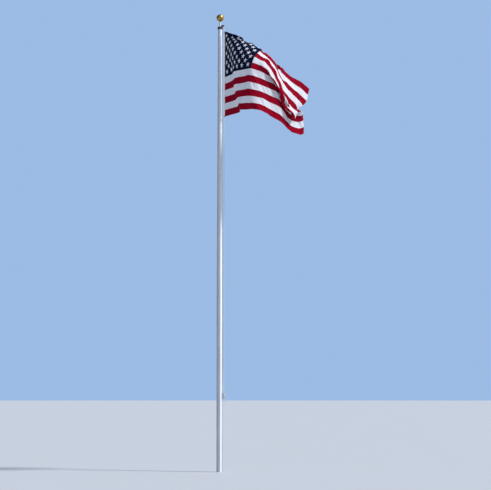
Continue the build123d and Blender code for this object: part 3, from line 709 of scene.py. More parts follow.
def keep_threads(sheet, across, down):
    """Sets every thread of the sheet back to its length, one way and then the other."""
    slant = hypot(across, down)
    for odd in (0, 1):
        keep_length(sheet[:, odd:-1:2], sheet[:, odd + 1::2], across)
        keep_length(sheet[odd:-1:2], sheet[odd + 1::2], down)
    for odd in (0, 1):
        keep_length(sheet[odd:-1:2, :-1], sheet[odd + 1::2, 1:], slant, DIAGONAL_HOLD)
        keep_length(sheet[odd:-1:2, 1:], sheet[odd + 1::2, :-1], slant, DIAGONAL_HOLD)


def spread(values):
    """Shares each value with its four neighbours."""
    wide = np.pad(values, ((1, 1), (1, 1), (0, 0)), mode="edge")
    around = wide[:-2, 1:-1] + wide[2:, 1:-1] + wide[1:-1, :-2] + wide[1:-1, 2:]
    return (4 * values + around) / 8


print("squeezing is held", SQUEEZE_HOLD, "as firmly as stretching")

# %% [markdown]
# A guide pulls on the four grid points around it, and its pull is spread over the cloth nearby, so
# it raises a soft swelling and no spike. It pulls towards its line of sight and hardly along it,
# so the sheet finds its own depth: it has to bulge just enough to use up its length.

# %% Pull of the guides
GUIDE_PULL = 0.3
PULL_REACH = 0.05
SPREADS = 3
# where the guides' shares add up to less than this, their pull fades out
FAINTEST_SHARE = 0.25
# a place on the last row or column is read in the cell before it
JUST_INSIDE = 1.001


def corners_of(marks, sheet_shape, across, down):
    """The four grid points round each guide, each with its share."""
    last = sheet_shape[1] - JUST_INSIDE, sheet_shape[0] - JUST_INSIDE
    place = np.clip(marks[:, :2] / (across, down), 0, last)
    cell = place.astype(int)
    a, b = (place - cell).T
    shares = {(0, 0): (1 - a) * (1 - b), (0, 1): a * (1 - b), (1, 0): (1 - a) * b, (1, 1): a * b}
    return [(cell[:, 1] + i, cell[:, 0] + j, share[:, None]) for (i, j), share in shares.items()]


def guide_pull(sheet, marks, corners, depth_hold, reach):
    """How far the guides move each point of the sheet in one pass."""
    now = sum(sheet[i, j] * share for i, j, share in corners)
    miss = marks[:, 2:5] - now
    sight_lines = marks[:, 6:9]
    depth = (miss * sight_lines).sum(1, keepdims=True) * sight_lines
    strength = (np.minimum(marks[:, 5], 1) * GUIDE_PULL)[:, None]
    pull = (miss - depth * (1 - depth_hold)) * strength
    total = np.zeros(sheet.shape[:2] + (4,))
    for i, j, share in corners:
        np.add.at(total, (i, j), np.hstack([pull * share, share]))
    for _ in range(reach):
        total = spread(total)
    return total[..., :3] / np.maximum(total[..., 3:], FAINTEST_SHARE)


print("guides pull over", PULL_REACH, "m of cloth")

# %% [markdown]
# On one fine grid a big fold would need thousands of passes to settle. So big folds settle on a
# coarse grid, and two finer grids follow with the smaller ones.

# %% Solve the sheet
THREAD_PASSES = 4
# grid rows and columns, passes, share of bending smoothed, share of a guide's depth followed
STAGES = [(14, 21, 300, 0.25, 0.5), (27, 41, 250, 0.3, 0.3), (40, 61, 200, 0.3, 0.2)]


def solve(sheet, marks, passes, bending, depth_hold):
    """Relaxes the sheet between its guides."""
    rows, columns = sheet.shape[:2]
    across, down = FLY_LENGTH / (columns - 1), HOIST / (rows - 1)
    heading = np.zeros((rows, 3)) + tuple(seam_place)
    heading[:, 2] = FLAG_TOP - np.linspace(0, HOIST, rows)
    corners = corners_of(marks, sheet.shape, across, down)
    reach = SPREADS * max(1, round(PULL_REACH / across))
    for _ in range(passes):
        sheet += guide_pull(sheet, marks, corners, depth_hold, reach)
        sheet[:, 1:-1] += bending * (0.5 * (sheet[:, :-2] + sheet[:, 2:]) - sheet[:, 1:-1])
        sheet[1:-1] += bending * (0.5 * (sheet[:-2] + sheet[2:]) - sheet[1:-1])
        for _ in range(THREAD_PASSES):
            keep_threads(sheet, across, down)
            sheet[:, 0] = heading
    return sheet


def read_between(sheet, i, j, a, b):
    """The sheet between its points: a share a on from column j and a share b on from row i."""
    top = sheet[i, j] * (1 - a) + sheet[i, j + 1] * a
    low = sheet[i + 1, j] * (1 - a) + sheet[i + 1, j + 1] * a
    return top * (1 - b) + low * b


def resampled(sheet, rows, columns):
    """The same sheet with another number of rows and columns."""
    last_row, last_column = sheet.shape[0] - 1, sheet.shape[1] - 1
    down, along = np.linspace(0, last_row, rows), np.linspace(0, last_column, columns)
    i = np.minimum(down.astype(int), last_row - 1)
    j = np.minimum(along.astype(int), last_column - 1)
    a, b = (along - j)[None, :, None], (down - i)[:, None, None]
    return read_between(sheet, i[:, None], j[None, :], a, b)


draped = start
for rows, columns, passes, bending, depth_hold in STAGES:
    draped = solve(resampled(draped, rows, columns), guides, passes, bending, depth_hold)
    threads = np.linalg.norm(np.diff(draped, axis=1), axis=2) / (FLY_LENGTH / (columns - 1))
    shortest, longest = round(threads.min(), 3), round(threads.max(), 3)
    print(rows, "x", columns, "threads from", shortest, "to", longest, "of their length")
print("flag reaches", draped.min((0, 1)).round(3), draped.max((0, 1)).round(3))

# %% [markdown]
# The solved sheet is coarse. A cubic curve through its points in both directions gives sixteen
# times as many, and the outward direction at each one comes from its neighbours. Everything that
# is sewn on the flag is then placed in the cloth's own coordinates: so far along the fly, so far
# down the hoist, and so far off the cloth.

# %% Refine the sheet
FINE = 4


def between(values, steps, axis):
    """Adds points between the rows of a grid on a smooth cubic curve through them."""
    values = np.moveaxis(values, axis, 0)
    ends = [2 * values[:1] - values[1:2], values, 2 * values[-1:] - values[-2:-1]]
    wide = np.concatenate(ends)
    p0, p1, p2, p3 = wide[:-3], wide[1:-2], wide[2:-1], wide[3:]
    pieces = []
    for step in range(steps):
        t = step / steps
        bend = (2 * p0 - 5 * p1 + 4 * p2 - p3) * t * t + (3 * p1 - p0 - 3 * p2 + p3) * t ** 3
        pieces.append(0.5 * (2 * p1 + (p2 - p0) * t + bend))
    fine = np.stack(pieces, 1).reshape((-1,) + values.shape[1:])
    return np.moveaxis(np.concatenate([fine, values[-1:]]), 0, axis)


def outward(sheet):
    """The direction off the cloth at each point, towards the side that shows its front."""
    normal = np.cross(np.gradient(sheet, axis=0), np.gradient(sheet, axis=1))
    return normal / (np.linalg.norm(normal, axis=2, keepdims=True) + TINY)


fine_sheet = between(between(draped, FINE, 0), FINE, 1)
fine_rows, fine_columns = fine_sheet.shape[:2]
fine_flat = flat_grid(fine_rows, fine_columns)
fine_off = outward(fine_sheet)
print("fine grid", fine_rows, "by", fine_columns)

# %% [markdown]
# The solved sheet is too smooth for real bunting. Where wind pulls across the ridge, slack cloth
# gathers in slanting creases a hand long. And sewing draws a seam up a little shorter than the
# cloth beside it, so the cloth ripples along every seam. Noise would wrinkle the flag evenly,
# which cloth never does. So the creases are laid one by one where the picture shows them, each a
# soft ridge or valley along a line, and the ripple follows the seams and fades between them.

# %% Creases and seam ripple
# from (along, down), to (along, down), half width, height; in metres on the flat cloth
CREASES = [
    ((1.02, 0.97), (1.16, 1.3), 0.024, 0.007), ((1.12, 0.97), (1.3, 1.42), 0.022, -0.006),
    ((1.22, 0.99), (1.4, 1.36), 0.024, 0.006), ((1.36, 1.02), (1.6, 1.52), 0.028, -0.007),
    ((1.48, 1.0), (1.72, 1.4), 0.026, 0.006), ((0.96, 1.22), (1.1, 1.66), 0.026, -0.006),
    ((1.44, 1.45), (1.6, 1.76), 0.024, 0.007), ((1.6, 1.4), (1.82, 1.74), 0.026, -0.006),
    ((0.42, 1.0), (0.52, 1.62), 0.03, 0.006), ((0.24, 0.5), (0.4, 1.1), 0.034, -0.006),
    ((0.55, 0.3), (0.82, 0.86), 0.034, 0.007), ((0.78, 0.16), (1.06, 0.62), 0.032, -0.006),
    ((0.3, 0.1), (0.62, 0.28), 0.028, 0.006), ((0.1, 0.06), (0.42, 0.4), 0.03, -0.005),
    ((1.3, 0.45), (1.62, 0.56), 0.024, 0.005), ((1.36, 0.6), (1.74, 0.78), 0.024, -0.005),
    ((2.2, 0.2), (2.62, 0.5), 0.03, 0.006), ((2.34, 0.08), (2.86, 0.34), 0.028, -0.006),
    ((2.12, 0.5), (2.56, 0.6), 0.024, -0.005), ((2.5, 1.52), (2.8, 1.74), 0.028, 0.006),
    ((2.3, 1.44), (2.44, 1.74), 0.024, -0.005), ((2.7, 1.38), (2.9, 1.62), 0.024, 0.005),
]
CREASE_DEPTH = 1.5
# a crease is lower towards its ends, but doesn't vanish there
CREASE_ENDS = (0.12, 0.88)
RIPPLE_LENGTH = 0.074
RIPPLE_HEIGHT = 0.0016
RIPPLE_REACH = 0.022
# how far each seam's ripple is shifted from the seam above, in radians
RIPPLE_SHIFT = 1.9
# length, slant, height
FLUTTER = [(0.31, 0.7, 0.0035), (0.19, -1.3, 0.0022)]
# creases and ripple grow from nothing over this length beside the heading
HEADING_CALM = 0.12


def crease_height(flat_places):
    """The height of all creases at places on the flat cloth."""
    height = np.zeros(flat_places.shape[:2])
    for start, end, half_width, rise in CREASES:
        start, end = np.array(start), np.array(end)
        lead = end - start
        share = np.clip(((flat_places - start) @ lead) / (lead @ lead), 0, 1)
        aside = np.linalg.norm(flat_places - start - share[..., None] * lead, axis=2)
        tapered = CREASE_DEPTH * rise * np.sin(pi * np.clip(share, *CREASE_ENDS))
        height += tapered * np.exp(-(aside / half_width) ** 2)
    return height


def ripple_height(flat_places):
    """Puckers along the seams, and a slow flutter that grows towards the fly."""
    along, down = flat_places[..., 0], flat_places[..., 1]
    seam = np.round(down / stripe_width)
    near = np.exp(-((down - seam * stripe_width) / RIPPLE_REACH) ** 2)
    sewn = np.where((seam >= CANTON_STRIPES) | (along > canton_length) | (seam == 0), 1, 0)
    wave = np.sin(2 * pi * along / RIPPLE_LENGTH + RIPPLE_SHIFT * seam)
    height = RIPPLE_HEIGHT * near * sewn * wave
    for length, slant, rise in FLUTTER:
        height += rise * (along / FLY_LENGTH) * np.sin(2 * pi * (along + slant * down) / length)
    return height


held = np.clip(fine_flat[..., 0] / HEADING_CALM, 0, 1)
raised = (crease_height(fine_flat) + ripple_height(fine_flat)) * held
fine_sheet = fine_sheet + raised[..., None] * fine_off
fine_off = outward(fine_sheet)
lowest, highest = round(raised.min() * 1000, 1), round(raised.max() * 1000, 1)
print("creases", len(CREASES), "from", lowest, "to", highest, "mm")

# %% Places on the hung flag
def on_cloth(places, lift):
    """Points on the hung flag, from places on the flat one and a distance off its front."""
    scale = np.array([(fine_columns - 1) / FLY_LENGTH, (fine_rows - 1) / HOIST])
    last = fine_columns - JUST_INSIDE, fine_rows - JUST_INSIDE
    spot = np.clip(places * scale, 0, last)
    cell = spot.astype(int)
    a, b = (spot - cell).T[:, :, None]
    j, i = cell.T
    middle = read_between(fine_sheet, i, j, a, b)
    return middle + read_between(fine_off, i, j, a, b) * np.reshape(lift, (-1, 1))


middle_of_flag = on_cloth(np.array([[FLY_LENGTH / 2, HOIST / 2]]), 0)[0]
print("the middle of the flag hangs at", middle_of_flag.round(3))

# %% [markdown]
# ## The bunting
#
# Thirteen stripes and the canton are cut and sewn. The sheet here is one closed mesh with a front,
# a back and a thin rim, so that it is solid from every side. Each face takes the colour of its
# stripe, and since the grid's rows fall on the seams, the colours meet in clean lines.

# %% Bunting mesh
BUNTING_THICKNESS = 0.0012
RED, WHITE, BLUE = 0, 1, 2


def stripe_colour(along, down):
    """Which cloth a place on the flat flag is made of."""
    stripe = min(int(down / stripe_width), STRIPES - 1)
    if along < canton_length and stripe < CANTON_STRIPES:
        return BLUE
    return RED if stripe % 2 == 0 else WHITE


def bunting():
    """The flag's cloth, front and back, closed along its four edges."""
    off = BUNTING_THICKNESS / 2 * fine_off
    points = np.vstack([(fine_sheet + off).reshape(-1, 3), (fine_sheet - off).reshape(-1, 3)])
    flat_places = fine_flat.reshape(-1, 2)
    count = len(flat_places)
    faces = grid_faces(fine_rows, fine_columns)
    cells = [stripe_colour(*(flat_places[face[0]] + flat_places[face[2]]) / 2) for face in faces]
    faces += grid_faces(fine_rows, fine_columns, count, True)
    which = cells + cells
    rim = [i * fine_columns for i in range(fine_rows)]
    rim += [(fine_rows - 1) * fine_columns + j for j in range(1, fine_columns)]
    rim += [i * fine_columns + fine_columns - 1 for i in range(fine_rows - 2, -1, -1)]
    rim += list(range(fine_columns - 2, 0, -1))
    for a, b in zip(rim, rim[1:] + rim[:1]):
        faces.append([a, b, b + count, a + count])
        which.append(stripe_colour(*(flat_places[a] + flat_places[b]) / 2))
    parts = [(points, faces, np.vstack([flat_places] * 2))]
    return piece("flag_bunting", parts, bunting_finish.values(), "flag", which)


flag_bunting = bunting()
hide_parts("flag_cloth")
print("bunting faces", len(flag_bunting.data.polygons))

# %% [markdown]
# ## What is sewn on the bunting
#
# A real flag of this size is built up from cut cloth. Each star is cut out, laid on the canton and
# held by a dense satin stitch around its edge, on both sides. The stripes meet in flat-felled
# seams, where both edges are folded into each other and sewn down with two rows of lockstitch. The
# long edges have a narrow hem, and the fly end, which beats itself to pieces in the wind, has a
# wide hem with four rows. The seams and hems are raised ribbons here, laid along the cloth, and
# their stitches are short dashes in the finish.

# %% Stitched finish
STITCH_LENGTH = 0.0042
STITCH_WIDTH = 0.0011


def stitched(name, main, rows):
    """Cloth with rows of lockstitch at the given distances across it, in thread a little paler."""
    thread = colour(*(0.7 * part + 0.06 for part in main[:3]))
    finish = Finish(name)
    cloth = finish.stored("cloth")
    along, across = cloth.part(0), cloth.part(1)
    dash = (along * (2 * pi / STITCH_LENGTH)).sine().eased(-0.6, 0.1)
    weave = (along * (2 * pi / THREAD)).sine() * (across * (2 * pi / THREAD)).sine() * 0.5 + 0.5
    marks = 0
    for row in rows:
        near = (across - row).size() * (1 / STITCH_WIDTH)
        marks = near.eased(1.0, 0.4) + marks
    marks = marks * dash
    shade = finish.blend(marks * 0.8, main, thread)
    bump = finish.bump(weave * 0.3 + marks, 0.0006, 0.6)
    sockets = {"Base_Color": shade, "Roughness": 0.75, "Normal": bump}
    return finish.surface(**sockets, Specular_IOR_Level=CLOTH_GLOSS)


SEAM_ROWS = (-0.0035, 0.0035)
HEM_ROWS = (-0.0085, -0.003, 0.003, 0.0085)
seam_finish = [stitched("seam_" + name, shade, SEAM_ROWS) for name, shade in CLOTH_COLOURS.items()]
hem_finish = [stitched("hem_" + name, shade, HEM_ROWS) for name, shade in CLOTH_COLOURS.items()]
print("stitched finishes", len(seam_finish) + len(hem_finish))

# %% Seams and hems
SEAM_WIDTH = 0.013
SEAM_RISE = 0.0013
HEM_WIDTH = 0.024
HEM_RISE = 0.0018
EDGE_HEM_WIDTH = 0.012
RIBBON_STEP = 0.012
# across a raised strip: share of the width, share of the height
STRIP_PROFILE = [(-0.5, 0), (-0.42, 1), (0, 1.15), (0.42, 1), (0.5, 0)]
STRIP_EDGE = 0.0002


def ribbon(start, end, width, rise, side):
    """A raised strip along the cloth as a part of a piece, and its points' flat places."""
    start, end = np.array(start), np.array(end)
    run = np.linalg.norm(end - start)
    steps = max(2, int(run / RIBBON_STEP))
    lead = (end - start) / run
    turn = np.array([-lead[1], lead[0]])
    across = np.array([share for share, _ in STRIP_PROFILE]) * width
    lift = np.array([rise * share or STRIP_EDGE for _, share in STRIP_PROFILE])
    travel = np.linspace(0, run, steps + 1)
    places = (start + travel[:, None, None] * lead + across[None, :, None] * turn).reshape(-1, 2)
    lifts = np.tile(lift, steps + 1) * side
    marks = np.stack(np.meshgrid(travel, across, indexing="ij"), 2).reshape(-1, 2)
    faces = grid_faces(steps + 1, len(STRIP_PROFILE), flip=side < 0)
    return (on_cloth(places, lifts), faces, marks), places


def sewn_strips(name, strips, finishes, width, rise):
    """One piece with a raised strip on both sides of the cloth along each line given."""
    parts, which = [], []
    for start, end, shade in strips:
        for side in (1, -1):
            part, places = ribbon(start, end, width, rise, side)
            parts.append(part)
            for face in part[1]:
                which.append(stripe_colour(*places[face].mean(0)) if shade is None else shade)
    return piece(name, parts, finishes, "flag", which)


def stripe_seams():
    """Where the seams between stripes run: start, end and the cloth on top."""
    rows = []
    for seam in range(1, STRIPES):
        down = seam * stripe_width
        begin = canton_length if seam < CANTON_STRIPES else 0.0
        rows.append(((begin, down), (FLY_LENGTH, down), None))
    canton_foot = CANTON_STRIPES * stripe_width
    rows.append(((canton_length, 0), (canton_length, canton_foot), BLUE))
    return rows


flag_seams = sewn_strips("flag_seams", stripe_seams(), seam_finish, SEAM_WIDTH, SEAM_RISE)
edge = EDGE_HEM_WIDTH / 2
long_edges = [((0, down), (FLY_LENGTH, down), None) for down in (edge, HOIST - edge)]
flag_hems = sewn_strips("flag_hems", long_edges, seam_finish, EDGE_HEM_WIDTH, SEAM_RISE)
fly_edge = FLY_LENGTH - HEM_WIDTH / 2
fly_line = [((fly_edge, 0), (fly_edge, HOIST), None)]
fly_hem = sewn_strips("fly_hem", fly_line, hem_finish, HEM_WIDTH, HEM_RISE)
strip_faces = [len(made.data.polygons) for made in (flag_seams, flag_hems, fly_hem)]
print("faces of the seams, edge hems and fly hem", strip_faces)

# %% [markdown]
# A star could be painted on the cloth, but then it would have no edge to catch the light. So it is
# a patch made of rings around its middle: flat white cloth inside, and at the edge a low ridge of
# satin stitch that comes down to the bunting.

# %% Stars
STAR_RADIUS = 0.0578
STAR_INNER = 0.382
STAR_EDGE_STEPS = 4
# share of the outline's size, height off the cloth
STAR_RINGS = [
    (0.06, 0.0014), (0.35, 0.0014), (0.65, 0.0014), (0.86, 0.0014),
    (0.90, 0.0014), (0.975, 0.0016), (1.0, 0.0010), (1.012, 0.0),
]
# from this ring outwards a star is satin stitch
FIRST_STITCHED_RING = 4


def star_outline():
    """A five-pointed star's edge, one point up, as places around its middle."""
    tips = []
    for k in range(10):
        radius = STAR_RADIUS * (1 if k % 2 == 0 else STAR_INNER)
        angle = radians(-90 + 36 * k)
        tips.append((radius * cos(angle), radius * sin(angle)))
    tips = np.array(tips)
    shares = np.linspace(0, 1, STAR_EDGE_STEPS, endpoint=False)[:, None]
    return np.vstack([a + (b - a) * shares for a, b in zip(tips, np.roll(tips, -1, 0))])


def star_patch(middle, outline, side):
    """One star on the front, side 1, or the back, side -1, as a part of a piece."""
    ring = len(outline)
    places = np.vstack([middle + outline * share for share, _ in STAR_RINGS])
    lifts = np.repeat([height * side for _, height in STAR_RINGS], ring)
    faces = grid_faces(len(STAR_RINGS), ring, flip=side > 0, closed=True)
    faces.append(list(range(ring))[::side])
    return on_cloth(places, lifts), faces, places


def all_stars():
    """Fifty stars on each side of the canton, as one piece."""
    outline = star_outline()
    parts = []
    for row in range(1, STAR_ROWS + 1):
        for column in range(1 + (row + 1) % 2, STAR_COLUMNS + 1, 2):
            middle = np.array(star_place(column, row))
            parts += [star_patch(middle, outline, side) for side in (1, -1)]
    cloth_rings = FIRST_STITCHED_RING * len(outline)
    stitched_rings = (len(STAR_RINGS) - 1) * len(outline) - cloth_rings
    which = ([0] * cloth_rings + [1] * stitched_rings + [0]) * len(parts)
    materials = [bunting_finish["white"], thread_white]
    return piece("flag_stars", parts, materials, "flag", which), len(parts)


flag_stars, star_count = all_stars()
print("stars on both sides", star_count)

# %% [markdown]
# The canvas heading is folded double and sewn: one row of long stitches by the rope and two rows
# where it holds the bunting, on both faces. Each stitch is a small pointed bead of thread.

# %% Stitches of the heading
HEADING_FACE = 0.0030
HEADING_ROWS = (0.0430, 0.0715, 0.0745)
HEADING_STITCH = 0.0038
HEADING_PITCH = 0.0050
THREAD_HALF = 0.0005
BEAD_FACES = [
    (0, 2, 4), (0, 4, 3), (0, 3, 5), (0, 5, 2), (1, 4, 2), (1, 3, 4), (1, 5, 3), (1, 2, 5),
]


def heading_stitches():
    """Rows of stitches down both faces of the heading."""
    lead = np.array([cos(HEADING_TURN), sin(HEADING_TURN), 0])
    out = np.array([-lead[1], lead[0], 0])
    end = np.array([0, 0, HEADING_STITCH / 2])
    thick, deep = lead * THREAD_HALF, out * THREAD_HALF
    bead = np.array([end, -end, thick, -thick, deep, -deep])
    axis = np.array(rope_line) * (1, 1, 0)
    top, foot = FLAG_TOP - HEADING_PITCH, FLAG_TOP - HOIST + HEADING_PITCH
    parts = []
    for height in np.arange(top, foot, -HEADING_PITCH):
        for reach in HEADING_ROWS:
            for side in (1, -1):
                middle = axis + reach * lead + side * HEADING_FACE * out + (0, 0, height)
                parts.append((middle + bead, BEAD_FACES, [(height, reach)] * len(bead)))
    piece("heading_stitches", parts, [thread_white], "flag")
    return len(parts)


print("stitches on the heading", heading_stitches())

# %% [markdown]
# ## The rope
#
# The halyard is 8 mm braided polyester. Strands run round it both ways and cross over and under,
# which gives the rope its diamonds. One continuous rope goes up from the cleat beside the shaft,
# over the sheave and down again on the outside. Each ring of points along the route is pushed out
# a little where a strand lies on top, and the finish repeats the braid at a finer scale in the
# rope's own coordinates, metres along it and turns round it.

# %% Rope finish
BRAID_LENGTH = 0.008
BRAID_STRANDS = 8


def braided(name, clean, grime_and_groove_shade):
    """Crossing strands, from the place along the rope and the share of a turn round it."""
    finish = Finish(name)
    rope = finish.stored("rope")
    along, around = rope.part(0) * (pi / BRAID_LENGTH), rope.part(1) * (pi * BRAID_STRANDS)
    right = (along + around).sine().size()
    left = (along - around).sine().size()
    strand = right * left
    fibres = finish.noise(finish.node("Mapping", {}, {"Vector": rope, "Scale": (900, 60, 1)}), 1.0)
    grime = finish.noise(finish.place(), 9.0, 4.0, 0.6).eased(0.45, 0.75)
    # Painted shade in the grooves between the strands, and real grime in patches, darken the rope.
    shade = finish.blend(grime * 0.5 + (1 - strand) * 0.35, clean, grime_and_groove_shade)
    bump = finish.bump(strand + fibres * 0.2, 0.0008, 0.7)
    sockets = {"Base_Color": shade, "Roughness": 0.72 + fibres * 0.15, "Normal": bump}
    return finish.surface(**sockets, Specular_IOR_Level=0.2)


white_rope = braided("white_rope", colour(0.84, 0.84, 0.82), colour(0.58, 0.57, 0.53))
print("rope finish", white_rope.name)

# %% Tubes along a route
ROPE_RADIUS = 0.004
ROPE_CORNERS = 16
CURVE_STEPS = 12
HALYARD_TURN = radians(-20)
# the rings of a tube start from here, a direction in which no route sets out
FIRST_ACROSS = (0.31, 0.95, 0.05)


def beside_pole(points):
    """Turns points (out from the pole, sideways, up) to the side that carries the rope."""
    out, side, up = np.asarray(points, float).T
    c, s = cos(HALYARD_TURN), sin(HALYARD_TURN)
    return np.stack([out * c - side * s, out * s + side * c, up], 1)


def even_route(points, step):
    """Points a fixed distance apart along a route."""
    gaps = np.linalg.norm(np.diff(points, axis=0), axis=1)
    reach = np.concatenate([[0], np.cumsum(gaps)])
    stops = np.linspace(0, reach[-1], max(2, int(round(reach[-1] / step))) + 1)
    route = np.stack([np.interp(stops, reach, points[:, axis]) for axis in range(3)], 1)
    return route, stops


def smooth_route(points):
    """A soft curve through a few points, as cord bends."""
    return between(np.asarray(points, float), CURVE_STEPS, 0)


def tube(route, stops, radius, corners=ROPE_CORNERS, lobes=0.0):
    """A round cord along a route, its strands pushed out by lobes, as a part of a piece."""
    lead = np.gradient(route, axis=0)
    lead /= np.linalg.norm(lead, axis=1, keepdims=True)
    first = np.cross(lead[0], FIRST_ACROSS)
    across = np.zeros_like(route)
    across[0] = first / np.linalg.norm(first)
    for k in range(1, len(route)):
        kept = across[k - 1] - lead[k] * (across[k - 1] @ lead[k])
        across[k] = kept / np.linalg.norm(kept)
    other = np.cross(lead, across)
    turns = np.arange(corners) / corners
    wave = pi * stops[:, None] / (2 * BRAID_LENGTH)
    angle = 2 * pi * turns[None, :]
    high = np.abs(np.sin(wave + angle)) * np.abs(np.sin(wave - angle))
    far = radius * (1 - lobes + 2 * lobes * high)[:, :, None]
    angle = angle[:, :, None]
    aside = np.cos(angle) * across[:, None] + np.sin(angle) * other[:, None]
    spots = route[:, None] + far * aside
    marks = np.stack(np.broadcast_arrays(stops[:, None], turns[None, :]), 2).reshape(-1, 2)
    faces = grid_faces(len(route), corners, closed=True)
    last = (len(route) - 1) * corners
    faces.append(list(range(corners - 1, -1, -1)))
    faces.append([last + k for k in range(corners)])
    return spots.reshape(-1, 3), faces, marks


def rope_piece(name, cords, body):
    """One piece of white rope from several tubes."""
    return piece(name, cords, [white_rope], body, kept="rope")


print("rope", 2 * ROPE_RADIUS, "m thick, with", BRAID_STRANDS, "strands")

# %% [markdown]
# The route is a few straight runs, set where the cleat, the sheave and the snaps have
# the rope, with a half circle over the sheave. A curve through the same points would swing out
# between them, and a taut rope is straight, so only the corners are rounded.

# %% Halyard
CORNER_EASE = 0.06
ROPE_RING_STEP = 0.0045
STRAND_RISE = 0.05
SHEAVE_REACH = 0.0765
SHEAVE_HEIGHT = 9.176
SHEAVE_TURN = 0.018
SHEAVE_POINTS = 25
CORNER_POINTS = 7
# points are (out from the pole, sideways, up)
INNER_ROUTE = [
    (0.0886, 0, 1.5995), (0.0721, 0, 1.9), (0.0585, 0, 8.9), (0.0585, 0, SHEAVE_HEIGHT),
]
OUTER_ROUTE = [(0.0945, 0, SHEAVE_HEIGHT), (0.0945, 0, 2.15), (0.0961, 0.0135, 1.5995)]


def eased_corners(points):
    """A route of straight lines with each corner rounded off over a short length."""
    points = np.asarray(points, float)
    route = [points[0]]
    for before, corner, after in zip(points, points[1:], points[2:]):
        start = corner + (before - corner) / np.linalg.norm(before - corner) * CORNER_EASE
        end = corner + (after - corner) / np.linalg.norm(after - corner) * CORNER_EASE
        for t in np.linspace(0, 1, CORNER_POINTS):
            route.append((1 - t) ** 2 * start + 2 * t * (1 - t) * corner + t * t * end)
    return np.array(route + [points[-1]])


over = np.linspace(pi, 0, SHEAVE_POINTS)
over_out = SHEAVE_REACH + SHEAVE_TURN * np.cos(over)
over_sheave = np.stack([over_out, 0 * over, SHEAVE_HEIGHT + SHEAVE_TURN * np.sin(over)], 1)
rope_points = [eased_corners(INNER_ROUTE), over_sheave[1:-1], eased_corners(OUTER_ROUTE)]
rope_route, rope_stops = even_route(beside_pole(np.vstack(rope_points)), ROPE_RING_STEP)
rope_tube = tube(rope_route, rope_stops, ROPE_RADIUS, lobes=STRAND_RISE)
braided_halyard = rope_piece("braided_halyard", [rope_tube], "root")
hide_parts("halyard")
print("halyard length", round(rope_stops[-1], 3), "m, faces", len(rope_tube[1]))

# %% [markdown]
# The rope is made fast with figure-of-eight turns: down behind the lower horn, up across the
# front, behind the upper horn and back, each turn inside the one before. Both strands come down to
# the same cleat, so the turns end where the outer strand arrives.

# %% Turns on the cleat
CLEAT_HEIGHT = 1.524
FRONT_UNDER = 0.1122
FRONT_OVER = 0.1202
SIDE_OUT = 0.1005
SIDE_REACH = 0.0145
BEHIND = 0.0878
TURN_HEIGHTS = [0.064, 0.0555, 0.047]
TURN_RING_STEP = 0.003
# across the front: below the turn's height at the sides, then aside, share of the height, lower
SIDE_DROP = 0.006
CROSS_ASIDE = 0.0075
CROSS_SHARE = 0.42
CROSS_DIP = 0.001
# behind a horn: aside, forward, lower, and how far inside the next turn its upper end lies
HORN_ASIDE = 0.008
HORN_EASE = 0.002
HORN_DIP = 0.001
UPPER_INSET = 0.004
# where the two strands leave and reach the cleat, from the cleat's middle
TURNS_START = [(0.0886, 0, 0.0755), (0.0900, -0.0075, 0.0722)]
TURNS_END = [(0.0995, 0.0195, 0.052), (0.0975, 0.0185, 0.065), (0.0961, 0.0135, 0.0755)]


def crossing(height, front, way):
    """One strand across the front of the cleat, from its left to its right side."""
    top = height - SIDE_DROP
    return [
        (SIDE_OUT, -SIDE_REACH, way * top),
        (front - CROSS_DIP, -CROSS_ASIDE, way * CROSS_SHARE * height),
        (front, 0, 0),
        (front - CROSS_DIP, CROSS_ASIDE, -way * CROSS_SHARE * height),
        (SIDE_OUT, SIDE_REACH, -way * top),
    ]


def round_horn(height, way):
    """The way behind a horn, from the right side back to the left."""
    out, up = BEHIND + HORN_EASE, way * (height - HORN_DIP)
    return [(out, HORN_ASIDE, up), (BEHIND, 0, way * height), (out, -HORN_ASIDE, up)]


turn_points = list(TURNS_START)
for height in TURN_HEIGHTS:
    turn_points += crossing(height, FRONT_UNDER, 1) + round_horn(height, -1)
    turn_points += crossing(height, FRONT_OVER, -1)
    if height > TURN_HEIGHTS[-1]:
        turn_points += round_horn(height - UPPER_INSET, 1)
turn_points += TURNS_END
turn_line = beside_pole(smooth_route(turn_points)) + (0, 0, CLEAT_HEIGHT)
turn_route, turn_stops = even_route(turn_line, TURN_RING_STEP)
turn_tube = tube(turn_route, turn_stops, ROPE_RADIUS, lobes=STRAND_RISE)
cleat_turns = rope_piece("cleat_turns", [turn_tube], "root")
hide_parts("cleat_hitch")
print("rope on the cleat", round(turn_stops[-1], 3), "m")

# %% [markdown]
# The two snaps hang on the outer strand between short seized bands, where thin cord is wound
# tightly round the rope in two coils with a waist between them for the eye of the snap to turn in.

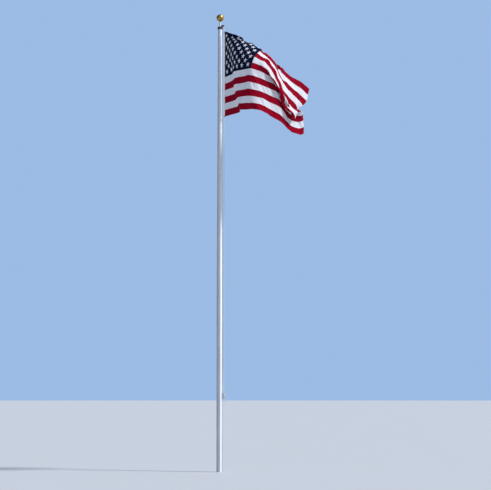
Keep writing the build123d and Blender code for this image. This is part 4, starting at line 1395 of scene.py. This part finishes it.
# %% Seized bands
BAND_CORD = 0.0019
BAND_REACH = 0.0080
BAND_PITCH = 0.0039
BAND_WAIST = 0.0056
CORD_CORNERS = 8
COIL_POINTS = 28
COIL_STEP = 0.0016
SLEEVE_RADIUS = 0.0062
SLEEVE_STEP = 0.004
SLEEVE_INSET = 0.0015
STRAND_PLACE = beside_pole([(0.0945, 0, 0)])[0]


def coil(bottom, top):
    """Turns of thin cord round the outer strand between two heights."""
    turns = (top - bottom) / BAND_PITCH
    angle = np.linspace(0, 2 * pi * turns, int(COIL_POINTS * turns) + 2)
    rise = np.linspace(bottom, top, len(angle))
    line = np.stack([BAND_REACH * np.cos(angle), BAND_REACH * np.sin(angle), rise], 1)
    route, stops = even_route(line + STRAND_PLACE, COIL_STEP)
    return tube(route, stops, BAND_CORD, CORD_CORNERS)


def seized_band(name, node):
    """Two coils and a sleeve under them, at the height of a CAD tie."""
    low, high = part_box(node)
    middle, half = (low.z + high.z) / 2, (high.z - low.z) / 2
    ends = [(0, 0, middle - half + SLEEVE_INSET), (0, 0, middle + half - SLEEVE_INSET)]
    sleeve, stops = even_route(np.array(ends) + STRAND_PLACE, SLEEVE_STEP)
    upper_coil = coil(middle + BAND_WAIST, middle + half - BAND_CORD)
    lower_coil = coil(middle - half + BAND_CORD, middle - BAND_WAIST)
    cords = [tube(sleeve, stops, SLEEVE_RADIUS), upper_coil, lower_coil]
    made = rope_piece(name, cords, "ties")
    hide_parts(node)
    return len(made.data.polygons)


upper_faces = seized_band("upper_band", "upper_tie")
lower_faces = seized_band("lower_band", "lower_tie")
print("faces of the bands", upper_faces, lower_faces)

# %% [markdown]
# ## Finishes of the CAD pieces
#
# The rigid pieces keep their CAD shape, because it is already the real one. Each could be given its
# finish by name, but the record says what every node is made of, so a loop follows that.

# %% Dress the CAD pieces
finishes = dict(metals, canvas=canvas, white_rope=white_rope, bunting=bunting_finish["white"])
node_slots = {row["node"]: row["material_slot"] for row in frame["record"]["subparts"]}
for name, made in frame["nodes"].items():
    made.data.materials.clear()
    made.data.materials.append(finishes[node_slots[name]])
print("dressed", len(frame["nodes"]))
